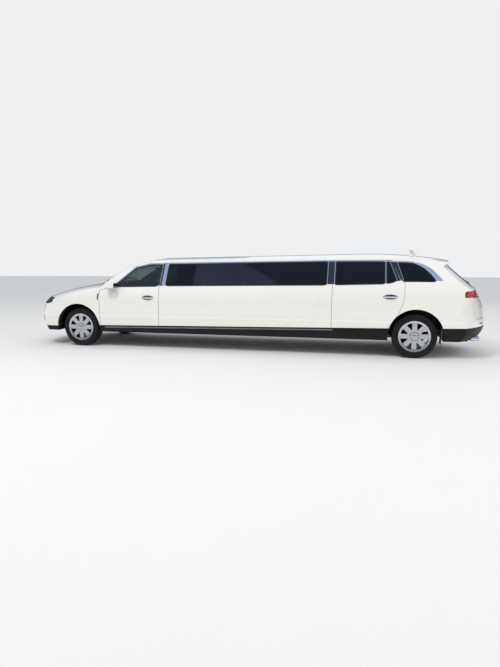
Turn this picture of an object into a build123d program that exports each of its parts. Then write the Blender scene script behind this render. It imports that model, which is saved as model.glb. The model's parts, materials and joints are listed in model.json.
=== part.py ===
"""Stretch limousine on a large family wagon, in millimetres.

+X points to the front, +Y to the car's left, +Z up. The origin is on the ground,
midway between the ends and the sides.
"""
import os
from math import cos, hypot, radians, sin

from build123d import *

# Driving dimensions of the base wagon, and what the stretch adds.
BASE_LENGTH = 5273
BASE_WHEELBASE = 2995
STRETCH = 3048
WIDTH = 1930
HEIGHT = 1712
LENGTH = BASE_LENGTH + STRETCH
WHEELBASE = BASE_WHEELBASE + STRETCH
FRONT_OVERHANG = 1050
NOSE_X = LENGTH / 2
TAIL_X = -LENGTH / 2
FRONT_AXLE_X = NOSE_X - FRONT_OVERHANG
REAR_AXLE_X = FRONT_AXLE_X - WHEELBASE
MAX_Y = WIDTH / 2

# Heights that the body is built on. The sill and the belt rise slightly to the rear.
BOTTOM_Z = 285
SILL_Z = 449
SILL_RISE = -0.0155
BELT_Z = 1165
BELT_RISE = -0.0195
FLOOR_Z = 315
FLOOR_THICKNESS = 30
LUGGAGE_Z = 430

# Wall thicknesses: body side, window frame, roof and hood, nose and tail.
SIDE_WALL = 90
FRAME_WALL = 45
ROOF_WALL = 30
END_WALL = 60
GLASS = 6
SHUT_GAP = 6
SHUT_SLOPE = 0.42

# Wheels, and the arches over them: x, z and radius.
TYRE_R = 360
TYRE_WIDTH = 235
RIM_R = 254
WHEEL_Y = 838
SPOKES = 8
KINGPIN_Y = 745
# Wheel arches: x and z of the centre, radius of the opening, and of the liner inside it.
ARCHES = [(FRONT_AXLE_X + 52, 348, 454, 478), (REAR_AXLE_X - 16, 362, 440, 440)]

# Grille: a shallow arc in plan, with upright bars.
GRILLE_X = 4125
GRILLE_R = 2659
GRILLE_BARS = 27
BAR_SPAN = 17.2

# Side skin: half width at each height. The belt's height changes along the car.
#             z,   half width
SIDE_SKIN = [(BOTTOM_Z, 0.962 * MAX_Y), (450, 0.991 * MAX_Y), (578, MAX_Y),
             (608, 0.989 * MAX_Y), (950, 0.979 * MAX_Y), (BELT_Z, 0.920 * MAX_Y),
             (1600, 0.654 * MAX_Y)]

# How the lines of the side view move as the section steps out from the centre.
#          y, nose, tail, hood, glass, roof, tailgate
ACROSS = [(0, 0, 0, 0, 0, 0, 0),
          (450, -35, 115, -14, -40, -20, 45),
          (750, -140, 290, -45, -125, -72, 145),
          (990, -420, 560, -100, -250, -160, 260)]

# Body width along the car, as a share of the full width.
FRONT_TAPER = [(2400, 1.0), (2750, 1.0), (3350, 0.985), (3800, 0.955), (4300, 0.90)]
REAR_TAPER = [(-2300, 1.0), (-2600, 1.0), (-3200, 0.985), (-3750, 0.945), (-4300, 0.88)]



def sill_z(x):
    """Height of the painted body's lower edge."""
    return SILL_Z + SILL_RISE * x


def belt_z(x):
    """Height of the crease below the side glass."""
    return BELT_Z + BELT_RISE * x


def roof_joint_z(x):
    """Height of the joint between the roof and the body side."""
    return 1574 + BELT_RISE * 0.72 * x


def door_outline(front_x, rear_x, front, rear):
    """Side view of a door: its two straight edges and the points in front and behind."""
    heights = (700, 950)
    return ([(front_x, sill_z(front_x))] + [(front_x, z) for z in heights] + front
            + [(rear_x, belt_z(rear_x))] * (rear is None) + (rear or [])
            + ([(rear_x, z) for z in reversed(heights)] + [(rear_x, sill_z(rear_x))])
            * (rear is None))


# Side view of the openings: x and z of their corners.
FRONT_EDGE = 2690
FRONT_DOOR_REAR = 1508
REAR_DOOR_FRONT = -1602
FRONT_DOOR = door_outline(
    FRONT_EDGE, FRONT_DOOR_REAR,
    [(FRONT_EDGE, 1060), (2468, 1108), (2046, 1484), (1760, 1551), (FRONT_DOOR_REAR, 1553)], None)
REAR_DOOR = door_outline(
    REAR_DOOR_FRONT, -2510,
    [(REAR_DOOR_FRONT, belt_z(REAR_DOOR_FRONT)), (REAR_DOOR_FRONT, 1595)],
    [(-2560, 1590), (-2672, 1290), (-2752, 1225), (-2752, 930), (-2670, 720), (-2560, 560),
     (-2510, sill_z(-2510))])
FRONT_WINDOW = [(2430, 1125), (2030, 1470), (1760, 1528), (1556, 1530), (1556, 1140)]
REAR_WINDOW = [(-1640, 1192), (-1640, 1576), (-2440, 1568), (-2440, 1212)]
DOOR_QUARTER = [(-2475, 1213), (-2475, 1566), (-2530, 1562), (-2635, 1275), (-2590, 1240)]
LONG_WINDOW = [(1395, 1150), (1395, 1545), (-1500, 1575), (-1500, 1187)]
QUARTER_WINDOW = [(-2735, 1248), (-2730, 1275), (-2635, 1553), (-2800, 1550), (-2910, 1536),
                  (-3050, 1466), (-3150, 1370), (-3225, 1268), (-3225, 1248)]

# Plan view of the left half: x and y of the corners.
HOOD_PLAN = [(2915, 0), (2840, 715), (3400, 735), (3700, 705), (3890, 560), (3960, 300),
             (3975, 0)]
SCREEN_PLAN = [(2850, 0), (2800, 420), (2655, 735), (1715, 560), (1740, 300), (1745, 0)]
ROOF_REAR_X = -3365
HOOD_GAP_X = [-SHUT_GAP, -SHUT_GAP, 0, 4, 10, 12, 12]

# Side view of the lamps, and x and z of each door's handle.
HEADLAMP = [(3668, 912), (3722, 822), (3800, 800), (4300, 800), (4300, 935)]
TAIL_LAMP = [(-3668, 1005), (-3675, 1085), (-3720, 1100), (-4400, 1100), (-4400, 990),
             (-3700, 990)]
HANDLES = {"front": (1725, 935), "rear": (-2535, 1000)}
AXLE_STEP_X = REAR_AXLE_X + 85
TAIL_PIPE_Y = 600
TAIL_PIPE_Z = 310
TAIL_PIPE_R = 32
JACK_X = 2200

# Rear view of the left half of the tailgate at x = GATE_X: y and z. Its sides lean in by
# GATE_TAPER to the front, so that the raised gate leaves the quarter panels at once.
GATE_X = -4400
GATE_TAPER = 0.3
GATE = [(0, 638), (794, 638), (852, 760), (915, 1120), (873, 1430), (873, 1700), (0, 1700)]
GATE_GLASS = [(0, 1165), (640, 1165), (535, 1480), (0, 1500)]


def skin_y(z):
    """Half width of the outer skin at a height, by straight steps."""
    for (z0, y0), (z1, y1) in zip(SIDE_SKIN, SIDE_SKIN[1:]):
        if z0 <= z <= z1:
            return y0 + (y1 - y0) * (z - z0) / (z1 - z0)
    return SIDE_SKIN[-1][1]


def middle(start, end, rise):
    """Point halfway between two, lifted by rise, for an arc."""
    return ((start[0] + end[0]) / 2, (start[1] + end[1]) / 2 + rise)


def cross_section(x, share, lower, upper, top):
    """Left half of the body's front view at x, moved in by lower, upper and top."""
    foot, sill, crease, ledge, door, belt, rail = [
        (y * share - (lower if z < BELT_Z else upper), z) for z, y in SIDE_SKIN]
    belt = (belt[0], belt_z(x))
    base = (foot[0], BOTTOM_Z + top)
    corner = (rail[0] - 70, 1685 - top)
    crown = (0, 1770 - top)
    with BuildSketch() as section:
        with BuildLine():
            Polyline((0, BOTTOM_Z + top), base, sill, crease, ledge)
            ThreePointArc(ledge, (ledge[0] + 4, 790), door)
            ThreePointArc(door, ((door[0] + belt[0]) / 2 + 8, (door[1] + belt[1]) / 2), belt)
            Line(belt, rail)
            ThreePointArc(rail, (rail[0] - 22, 1654 - top * 0.7), corner)
            ThreePointArc(corner, (corner[0] / 2, 1748 - top), crown)
            Line(crown, (0, BOTTOM_Z + top))
        make_face()
    return section.sketch


def side_form(lower, upper, top):
    """The body's left side, from the half section carried along the car."""
    middle_part = [(REAR_TAPER[0][0], 1.0), (FRONT_TAPER[0][0], 1.0)]
    with BuildPart() as form:
        for taper in (middle_part, FRONT_TAPER, REAR_TAPER):
            for x, share in taper:
                with BuildSketch(Plane.YZ.offset(x)):
                    add(cross_section(x, share, lower, upper, top))
            loft(ruled=taper is middle_part)
    return form.part


def side_view(row, inset, end):
    """Side view of the body at one distance from the centre, moved in by inset and end."""
    nose, tail, hood, glass, roof, gate = row
    front_foot = (4085 + nose - end, BOTTOM_Z + inset)
    rear_foot = (-4040 + tail + end, BOTTOM_Z + inset)
    rear_mid = (TAIL_X + tail + end, 600)
    gate_belt = (-3945 + gate + end, 1130)
    spoiler_under = (-3475 + gate + end, 1548 + roof - inset)
    spoiler_tip = (-3490 + gate / 2 + end, 1600 + roof - inset)
    roof_rear = (-1850, HEIGHT - 2 + roof - inset)
    roof_front = (1600, 1660 + roof - inset)
    screen_foot = (2880 + glass - end, 1180 + hood - inset)
    hood_lip = (3995 + nose - end, 950 + hood - inset)
    nose_top = (4145 + nose - end, 730)
    with BuildSketch() as view:
        with BuildLine():
            Line(front_foot, rear_foot)
            ThreePointArc(rear_foot, (TAIL_X + 22 + tail + end, 420), rear_mid)
            ThreePointArc(rear_mid, (TAIL_X + 75 + tail + end, 880), gate_belt)
            Polyline(gate_belt, spoiler_under, spoiler_tip)
            ThreePointArc(spoiler_tip, middle(spoiler_tip, roof_rear, 42), roof_rear)
            Line(roof_rear, roof_front)
            ThreePointArc(roof_front, middle(roof_front, screen_foot, 84), screen_foot)
            ThreePointArc(screen_foot, middle(screen_foot, hood_lip, 36), hood_lip)
            ThreePointArc(hood_lip, middle(hood_lip, nose_top, 38), nose_top)
            ThreePointArc(nose_top, (NOSE_X + nose - end, 520), front_foot)
        make_face()
    return view.sketch


def top_form(inset, end):
    """Left half of the nose, hood, windscreen, roof and tail, carried out from the centre.

    The loft starts with the first section's twin on the right, so that it is level
    across the centre.
    """
    twin = (-ACROSS[1][0],) + ACROSS[1][1:]
    with BuildPart() as form:
        for row in [twin] + ACROSS:
            with BuildSketch(Plane.XZ.offset(-row[0])):
                add(side_view(row[1:], inset, end))
        loft()
        split(bisect_by=Plane.XZ, keep=Keep.BOTTOM)
    return form.part


def body_form(lower=0, upper=0, top=0, end=0):
    """The left half of the body, each wall moved in by its own amount."""
    with BuildPart() as form:
        add(side_form(lower, upper, top))
        add(top_form(top, end), mode=Mode.INTERSECT)
    return form.part


def along_y(points, low=0, high=1100):
    """Solid with a side-view outline, from y = low to y = high."""
    with BuildPart() as solid:
        with BuildSketch(Plane.XZ.offset(-low)):
            with BuildLine():
                Polyline(*points, close=True)
            make_face()
        extrude(amount=low - high)
    return solid.part


def along_z(points, low, high):
    """Solid with a plan outline, from z = low to z = high."""
    with BuildPart() as solid:
        with BuildSketch(Plane.XY.offset(low)):
            with BuildLine():
                Polyline(*points, close=True)
            make_face()
        extrude(amount=high - low)
    return solid.part


def along_x(points, low, high, taper=0):
    """Solid with a rear-view outline, from x = low to x = high, leaning to smaller y."""
    with BuildPart() as solid:
        with BuildSketch(Plane.YZ.offset(low)):
            with BuildLine():
                Polyline(*points, close=True)
            make_face()
        extrude(amount=(high - low) * hypot(1, taper), dir=(1, -taper, 0))
    return solid.part


def door_zone(outline, grow=0):
    """Space of a left door, its shut faces slanted so that it swings out freely."""
    points = [(x - SHUT_SLOPE * (MAX_Y - skin_y(z)), z) for x, z in outline]
    reach = MAX_Y - 500
    with BuildPart() as zone:
        with BuildSketch(Plane.XZ.offset(-MAX_Y - 20)):
            with BuildLine():
                Polyline(*points, close=True)
            make_face()
            if grow:
                offset(amount=grow, kind=Kind.INTERSECTION)
        extrude(amount=reach * (1 + SHUT_SLOPE ** 2) ** 0.5, dir=(SHUT_SLOPE, -1, 0))
    return zone.part


def piece(body, zone, *cuts):
    """The part of a body inside a zone, less some cuts."""
    with BuildPart() as result:
        add(body)
        add(zone, mode=Mode.INTERSECT)
        for cut in cuts:
            add(cut, mode=Mode.SUBTRACT)
    return result.part


def less(body, *cuts):
    """A body less some cuts."""
    with BuildPart() as result:
        add(body)
        for cut in cuts:
            add(cut, mode=Mode.SUBTRACT)
    return result.part


def handle(x, z):
    """Bow-shaped pull of a left door, set in the skin at x and z."""
    y = skin_y(z) - 2
    with BuildPart() as pull:
        with BuildSketch(Plane.XY.offset(z - 14)):
            with BuildLine():
                ThreePointArc((x - 115, y - 3), (x, y + 42), (x + 115, y - 3))
                Polyline((x + 115, y - 3), (x + 85, y - 3))
                ThreePointArc((x + 85, y - 3), (x, y + 27), (x - 85, y - 3))
                Line((x - 85, y - 3), (x - 115, y - 3))
            make_face()
        extrude(amount=28)
    return pull.part


def both(part):
    """A left piece and its mirror image, as one part."""
    with BuildPart() as result:
        add(part)
        mirror(about=Plane.XZ)
    return result.part


def mirrored(part):
    """The right-hand twin of a left piece."""
    return mirror(part, about=Plane.XZ)


def box(x0, x1, y0, y1, z0, z1):
    """Block between two corners."""
    with BuildPart() as block:
        with BuildSketch(Plane.XY.offset(z0)):
            with Locations(((x0 + x1) / 2, (y0 + y1) / 2)):
                Rectangle(x1 - x0, y1 - y0)
        extrude(amount=z1 - z0)
    return block.part


def rod(start, end, radius):
    """Straight round bar between two points."""
    axis = Vector(*end) - Vector(*start)
    with BuildPart() as bar:
        with BuildSketch(Plane(origin=start, z_dir=axis)):
            Circle(radius)
        extrude(amount=axis.length)
    return bar.part


def joined(*parts):
    """Several parts as one."""
    with BuildPart() as result:
        for part in parts:
            add(part)
    return result.part


PARTS = {}


def keep(name, part):
    """Label a finished piece and note it for export."""
    part.label = name
    PARTS[name] = part


# Body walls, and skins for the glass.
cavity = body_form(SIDE_WALL, FRAME_WALL, ROOF_WALL, END_WALL)
body_left = body_form()
half = less(body_left, cavity)
side_glass = less(side_form(8, 8, 8), side_form(8 + GLASS, 8 + GLASS, 8 + GLASS))
end_glass = less(top_form(8, 8), top_form(8 + GLASS, 8 + GLASS))

# Wheel arches.
half = less(half, *[rod((x, 300, z), (x, 1100, z), radius) for x, z, radius, liner in ARCHES])

# Doors, with their glass.
windows = {
    "front_window": along_y(FRONT_WINDOW),
    "rear_window": along_y(REAR_WINDOW),
    "door_quarter": along_y(DOOR_QUARTER),
    "long_window": along_y(LONG_WINDOW),
    "quarter_window": along_y(QUARTER_WINDOW),
}
for name, outline, holes in (("front", FRONT_DOOR, ["front_window"]),
                             ("rear", REAR_DOOR, ["rear_window", "door_quarter"])):
    holes = [windows[hole] for hole in holes]
    door = joined(piece(half, door_zone(outline), *holes), handle(*HANDLES[name]))
    glass = piece(side_glass, joined(*holes))
    keep(f"{name}_door_left", door)
    keep(f"{name}_door_right", mirrored(door))
    keep(f"{name}_door_glass_left", glass)
    keep(f"{name}_door_glass_right", mirrored(glass))
    half = less(half, door_zone(outline, SHUT_GAP))

# Hood, with a wider gap at its front, where it moves forward as it opens.
hood_zone = along_z(HOOD_PLAN, 860, 1300)
keep("hood", both(piece(half, hood_zone)))
hood_gap = along_z([(x + wider, y + SHUT_GAP if y else y)
                    for (x, y), wider in zip(HOOD_PLAN, HOOD_GAP_X)], 860, 1300)
half = less(half, hood_gap)

# Tailgate with its glass and lamp bar, and the lamps' ends on the body.
gate_zone = along_x(GATE, GATE_X, ROOF_REAR_X, GATE_TAPER)
gate_glass_zone = along_x(GATE_GLASS, GATE_X, ROOF_REAR_X - 60)
lamp_zone = along_y(TAIL_LAMP, -10)
gate = piece(half, gate_zone, gate_glass_zone)
lamp_bar = piece(gate, lamp_zone, Pos(30, 0, 0) * body_left)
keep("tailgate_lamp", both(lamp_bar))
keep("tailgate", both(less(gate, lamp_bar)))
keep("tailgate_glass", both(piece(end_glass, gate_glass_zone)))
gate_gap = along_x([(y + SHUT_GAP if y else y, z - (SHUT_GAP if z == GATE[0][1] else 0))
                    for y, z in GATE], GATE_X, ROOF_REAR_X + SHUT_GAP, GATE_TAPER)
half = less(half, gate_gap)
keep("tail_lamps", both(piece(half, lamp_zone)))
half = less(half, lamp_zone)

# Windscreen, roof with its front pillars.
screen_zone = along_z(SCREEN_PLAN, 1100, 1700)
keep("windscreen", both(piece(end_glass, screen_zone)))
half = less(half, screen_zone)
roof_zone = along_y([(ROOF_REAR_X, roof_joint_z(ROOF_REAR_X)),
                     (FRONT_DOOR_REAR, roof_joint_z(FRONT_DOOR_REAR)), (FRONT_DOOR_REAR, 1200),
                     (2700, 1100), (2990, 1100), (2990, 1800), (ROOF_REAR_X, 1800)])
keep("roof", both(piece(half, roof_zone)))
half = less(half, roof_zone)

# Fixed body sides.
headlamp_zone = along_y(HEADLAMP, 430, 1100)
fender_zone = along_y([(2400, 380), (2400, 1300), (4300, 1300), (4300, 800), (3500, 800),
                       (3500, 380)])
stretch_zone = along_y([(1600, sill_z(1600)), (1600, 1620), (-1750, 1620),
                        (-1750, sill_z(-1750))])
quarter_zone = along_y([(-2400, sill_z(-2400)), (-2400, 1800), (-4300, 1800),
                        (-4300, 632), (-3330, 632), (-3330, sill_z(-3330))])
front_mask = box(3700, 4300, -10, 430, 640, 1300)
sill_zone = along_y([(3400, 270), (3400, sill_z(3400)), (-3330, sill_z(-3330)), (-3330, 270)],
                    SIDE_SKIN[0][1] - 200, 1100)
fender = piece(half, fender_zone, headlamp_zone, front_mask, sill_zone)
keep("front_fender_left", fender)
keep("front_fender_right", mirrored(fender))
keep("headlamps", both(piece(half, headlamp_zone)))
stretch = piece(half, stretch_zone, windows["long_window"])
keep("stretch_panel_left", stretch)
keep("stretch_panel_right", mirrored(stretch))
quarter = piece(half, quarter_zone, windows["quarter_window"])
keep("rear_quarter_left", quarter)
keep("rear_quarter_right", mirrored(quarter))
keep("side_glass", both(piece(side_glass, joined(windows["long_window"],
                                                 windows["quarter_window"]))))

# Bumpers, grille and sills.
valance_z = 372
front_zone = joined(along_y([(3500, valance_z), (3500, 800), (4300, 800), (4300, valance_z)], -10),
                    box(3700, 4300, -10, 430, 700, 1300))
grille_zone = along_y([(3700, 640), (3700, 885), (4300, 885), (4300, 640)], -10, 430)
keep("front_bumper", both(piece(half, front_zone, grille_zone)))
with BuildPart() as grille:
    for inner, outer, low, high, half_width in ((45, 55, 640, 885, 430), (5, 45, 640, 885, 430)):
        with BuildSketch(Plane.XY.offset(low)):
            with Locations((GRILLE_X - GRILLE_R, 0)):
                Circle(GRILLE_R - inner)
                Circle(GRILLE_R - outer, mode=Mode.SUBTRACT)
            with Locations((GRILLE_X, 0)):
                Rectangle(400, 2 * half_width, mode=Mode.INTERSECT)
        extrude(amount=high - low)
    with BuildSketch(Plane.XY.offset(660)):
        with Locations((GRILLE_X - GRILLE_R, 0)):
            Circle(GRILLE_R)
            Circle(GRILLE_R - 45, mode=Mode.SUBTRACT)
        with Locations((GRILLE_X, 0)):
            Rectangle(400, 820, mode=Mode.INTERSECT)
    extrude(amount=205, mode=Mode.SUBTRACT)
    with BuildSketch(Plane.XY.offset(655)):
        with Locations((GRILLE_X - GRILLE_R, 0)):
            with PolarLocations(GRILLE_R - 30, GRILLE_BARS, start_angle=-BAR_SPAN / 2,
                                angular_range=BAR_SPAN, endpoint=True):
                Rectangle(34, 12)
    extrude(amount=215)
keep("grille", grille.part)
rear_zone = along_y([(-3330, sill_z(-3330)), (-3330, 632), (-4300, 632),
                     (-4300, sill_z(-4300))], -10)
keep("rear_bumper", both(piece(half, rear_zone)))
under_zones = (along_y([(3500, 200), (3500, valance_z), (4300, valance_z), (4300, 200)], -10),
               along_y([(-3330, 200), (-3330, sill_z(-3330)), (-4300, sill_z(-4300)),
                        (-4300, 200)], -10))
tail_pipe = (-3780, TAIL_PIPE_Y, TAIL_PIPE_Z), (-3965, TAIL_PIPE_Y, TAIL_PIPE_Z)
under_cut = joined(rod((-3780, TAIL_PIPE_Y, TAIL_PIPE_Z), (-4300, TAIL_PIPE_Y, TAIL_PIPE_Z),
                       TAIL_PIPE_R + 9),
                   along_z([(-3300, -10), (-4060, -10), (-3950, 450), (-3780, 740),
                            (-3300, 760)], 200, 430))
lower = [piece(half, under_zones[0]), piece(half, sill_zone), piece(half, under_zones[1], under_cut)]
keep("lower_cladding", joined(*[both(part) for part in lower]))

# Floor, with a step up to the luggage space, and the tubs over the wheels.
TUB_Y = 480
LINER = 6
DOOR_SWING_Y = 838
with BuildPart() as liners:
    for x, z, radius, liner in ARCHES:
        with BuildSketch(Plane.XZ.offset(-TUB_Y)):
            with Locations((x, z)):
                Circle(liner + LINER)
        extrude(amount=-(870 - TUB_Y))
        with BuildSketch(Plane.XZ.offset(-TUB_Y - LINER)):
            with Locations((x, z)):
                Circle(liner)
        extrude(amount=-(1000 - TUB_Y), mode=Mode.SUBTRACT)
    add(joined(box(-4200, 0, 0, 1000, LUGGAGE_Z, 1000), box(0, 4200, 0, 1000, 345, 1000)),
        mode=Mode.INTERSECT)
    # Room for the front edge of the front door, which swings in as the door opens.
    add(box(FRONT_EDGE - 90, FRONT_EDGE + 50, DOOR_SWING_Y, 1000, 0, 1000), mode=Mode.SUBTRACT)
keep("wheelhouse_liners", both(piece(liners.part, cavity)))
with BuildPart() as floor:
    add(box(AXLE_STEP_X, 2640, 0, 900, FLOOR_Z, FLOOR_Z + FLOOR_THICKNESS))
    add(box(AXLE_STEP_X, AXLE_STEP_X + 20, 0, 900, FLOOR_Z, LUGGAGE_Z + FLOOR_THICKNESS))
    add(box(-3950, AXLE_STEP_X + 20, 0, 900, LUGGAGE_Z, LUGGAGE_Z + FLOOR_THICKNESS))
    for x, z, radius, liner in ARCHES:
        with BuildSketch(Plane.XZ.offset(-TUB_Y)):
            with Locations((x, z)):
                Circle(liner + LINER)
        extrude(amount=-500, mode=Mode.SUBTRACT)
    add(cavity, mode=Mode.INTERSECT)
jack_pads = [box(x - 60, x + 60, 640, 700, BOTTOM_Z, FLOOR_Z) for x in (JACK_X, -JACK_X)]
keep("floor_pan", both(joined(floor.part, *jack_pads)))
keep("bulkhead", piece(box(2640, 2665, -780, 780, FLOOR_Z, 1080), both(cavity)))
keep("engine_block", box(2720, 3420, -260, 260, 380, 900))

# Inside the cabin.
dash = along_y([(2300, 700), (2250, 900), (2330, 1030), (2640, 1060), (2640, 700)], -780, 780)
wheel_plane = Plane(origin=(2130, 380, 950), z_dir=(-0.92, 0, 0.39))
with BuildPart() as steering_wheel:
    with BuildSketch(Plane(origin=wheel_plane.origin + wheel_plane.x_dir * 180,
                           x_dir=wheel_plane.z_dir, z_dir=wheel_plane.y_dir)):
        Circle(15)
    revolve(axis=Axis(wheel_plane.origin, wheel_plane.z_dir))
    with BuildSketch(wheel_plane.offset(-12)):
        Circle(50)
        Rectangle(350, 30)
    extrude(amount=24)
column = rod((2135, 380, 948), (2330, 380, 865), 28)
keep("dashboard", joined(dash, steering_wheel.part, column))


def seat(x, y, width):
    """Forward-facing seat: cushion on its base, and a leaning backrest."""
    side = [(x, 345), (x, 560), (x - 40, 610), (x - 450, 590), (x - 600, 1180), (x - 700, 1180),
            (x - 600, 560), (x - 520, 345)]
    return along_y(side, y - width / 2, y + width / 2)


keep("front_seats", joined(seat(2050, 390, 520), seat(2050, -390, 520)))
keep("partition", piece(box(1200, 1225, -800, 800, 345, 1500), both(cavity)))
keep("rear_bench", seat(-2150, 0, 940))
side_bench = along_x([(-770, 345), (-770, 1050), (-700, 1050), (-640, 590), (-250, 590),
                      (-250, 345)], -1300, 900)
keep("side_bench", side_bench)

# Wheels and what carries them.


def tyre(x, y):
    """Plain tyre."""
    half_width = TYRE_WIDTH / 2
    with BuildPart() as result:
        with BuildSketch(Plane(origin=(x, y, TYRE_R), z_dir=(0, 0, 1))):
            with BuildLine():
                Polyline((RIM_R, 100), (RIM_R, -100))
                ThreePointArc((RIM_R, -100), (305, -half_width), (340, -105))
                Polyline((340, -105), (TYRE_R, -85), (TYRE_R, 85), (340, 105))
                ThreePointArc((340, 105), (305, half_width), (RIM_R, 100))
            make_face()
        revolve(axis=Axis((x, y, TYRE_R), (0, 1, 0)))
    return result.part


def spoke_window():
    """Opening between two spokes, whose edges run straight beside them."""
    with BuildSketch() as window:
        with BuildLine():
            Polyline((112, 5), (214, 46), (222, 0), (214, -46), (112, -5), close=True)
        make_face()
        fillet(window.vertices(), radius=6)
    return window.sketch


def rim(x, side):
    """Alloy rim with eight wide spokes, and its brake disc."""
    y = side * WHEEL_Y
    centre = (x, y, TYRE_R)
    with BuildPart() as result:
        with BuildSketch(Plane(origin=centre, x_dir=(1, 0, 0), z_dir=(0, 0, 1))):
            with BuildLine():
                Polyline((0, side * 90), (0, side * 97), (66, side * 97), (80, side * 84),
                         (205, side * 84), (225, side * 96), (RIM_R, side * 100),
                         (RIM_R, side * -100), (240, side * -100), (236, side * 50),
                         (205, side * 54), (95, side * 54), (72, side * 0), (31, side * 0),
                         (31, side * 90), close=True)
            make_face()
        revolve(axis=Axis(centre, (0, 1, 0)))
        with BuildSketch(Plane(origin=(x, y + side * 30, TYRE_R), x_dir=(1, 0, 0),
                               z_dir=(0, side, 0))):
            with PolarLocations(0, SPOKES, start_angle=180 / SPOKES):
                add(spoke_window())
        extrude(amount=80, mode=Mode.SUBTRACT)
        with BuildSketch(Plane(origin=(x, y, TYRE_R), x_dir=(1, 0, 0), z_dir=(0, side, 0))):
            Circle(165)
            Circle(60, mode=Mode.SUBTRACT)
        extrude(amount=-26)
    return result.part


def spindle(x, side, inner):
    """Stub axle that the wheel turns on."""
    return rod((x, side * inner, TYRE_R), (x, side * (WHEEL_Y + 88), TYRE_R), 30)


for end, x in (("front", FRONT_AXLE_X), ("rear", REAR_AXLE_X)):
    for name, side in (("left", 1), ("right", -1)):
        keep(f"{end}_tyre_{name}", tyre(x, side * WHEEL_Y))
        keep(f"{end}_rim_{name}", rim(x, side))


def knuckle(side):
    """Front upright with its stub axle, caliper and steering arm."""
    x = FRONT_AXLE_X
    low, high = sorted((side * 715, side * 775))
    upright = box(x - 45, x + 45, low, high, TYRE_R - 125, TYRE_R + 125)
    inner, outer = sorted((side * 770, side * 850))
    caliper = box(x - 172, x - 95, inner, outer, TYRE_R - 70, TYRE_R + 70)
    slot_in, slot_out = sorted((side * (WHEEL_Y - 31), side * (WHEEL_Y + 5)))
    slot = box(x - 171, x - 90, slot_in, slot_out, TYRE_R - 80, TYRE_R + 80)
    arm = box(x - 172, x - 30, low, high, TYRE_R - 40, TYRE_R + 40)
    return joined(less(joined(upright, arm, caliper), slot), spindle(x, side, 716))


for name, side in (("left", 1), ("right", -1)):
    keep(f"knuckle_{name}", knuckle(side))

subframe = joined(box(2880, 3340, -420, 420, 300, 360),
                  *[rod((FRONT_AXLE_X, side * 380, 325), (FRONT_AXLE_X, side * 680, 262), 22)
                    for side in (1, -1)])
keep("front_subframe", subframe)
keep("rear_axle", joined(rod((REAR_AXLE_X, -720, TYRE_R), (REAR_AXLE_X, 720, TYRE_R), 45),
                         spindle(REAR_AXLE_X, 1, 700), spindle(REAR_AXLE_X, -1, 700)))

# Exhaust, mud flaps, mirrors and the roof antenna.
keep("exhaust", joined(rod((2200, -250, 262), (-3430, -250, 262), 36),
                       box(-3800, -3420, -640, 640, 262, 395), both(rod(*tail_pipe, TAIL_PIPE_R))))
keep("mud_flaps", both(along_y([(-3366, 500), (-3357, 500), (-3339, 240), (-3348, 240)],
                               735, 905)))
with BuildPart() as mirror_case:
    with BuildSketch(Plane.XZ.offset(-910)):
        with BuildLine():
            Polyline((2542, 1114), (2335, 1095), (2325, 1200), (2400, 1218), (2500, 1188),
                     close=True)
        make_face()
    extrude(amount=-170)
    fillet(mirror_case.edges(), radius=18)
mirror_part = joined(mirror_case.part, box(2345, 2425, 875, 935, 1088, 1120))
mirror_part = less(mirror_part, PARTS["front_door_left"])
keep("mirror_left", mirror_part)
keep("mirror_right", mirrored(mirror_part))
with BuildPart() as antenna:
    with BuildSketch(Plane.XY.offset(1764)):
        with BuildLine():
            ThreePointArc((-3035, -235), (-2870, 0), (-3035, 235))
            Line((-3035, 235), (-3075, 225))
            ThreePointArc((-3075, 225), (-2960, 0), (-3075, -225))
            Line((-3075, -225), (-3035, -235))
        make_face()
    extrude(amount=32)
    with BuildSketch(Plane.XY.offset(1766)):
        with Locations((-2935, 0)):
            Ellipse(45, 22)
    with BuildSketch(Plane.XY.offset(1655)):
        with Locations((-2935, 0)):
            Ellipse(85, 40)
    loft()
keep("antenna", less(antenna.part, both(body_left)))

os.makedirs("parts", exist_ok=True)
for name, part in PARTS.items():
    export_step(part, f"parts/{name}.step")
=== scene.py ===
"""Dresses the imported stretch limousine: finishes, window trim, tyres, lamps and cabin."""
import json
import math

import bmesh
import bpy
import numpy as np
from mathutils import Matrix, Vector
from mathutils.bvhtree import BVHTree


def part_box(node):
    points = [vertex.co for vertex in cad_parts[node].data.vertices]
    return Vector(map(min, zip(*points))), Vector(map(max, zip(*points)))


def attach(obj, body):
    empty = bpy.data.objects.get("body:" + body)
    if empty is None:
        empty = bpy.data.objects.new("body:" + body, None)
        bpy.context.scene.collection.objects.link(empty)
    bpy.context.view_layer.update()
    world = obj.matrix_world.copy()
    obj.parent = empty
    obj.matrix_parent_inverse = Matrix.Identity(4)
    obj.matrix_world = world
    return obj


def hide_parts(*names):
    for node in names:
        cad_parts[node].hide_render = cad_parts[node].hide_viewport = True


bl_info = {
    "name": "Stretch limousine dressing",
    "version": (1, 0, 0),
    "blender": (4, 5, 0),
    "location": "View3D > Sidebar > Limousine",
    "description": "Adds finishes, trim, tyres, lamps and cabin pieces to the limousine",
    "category": "Object",
}

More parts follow.
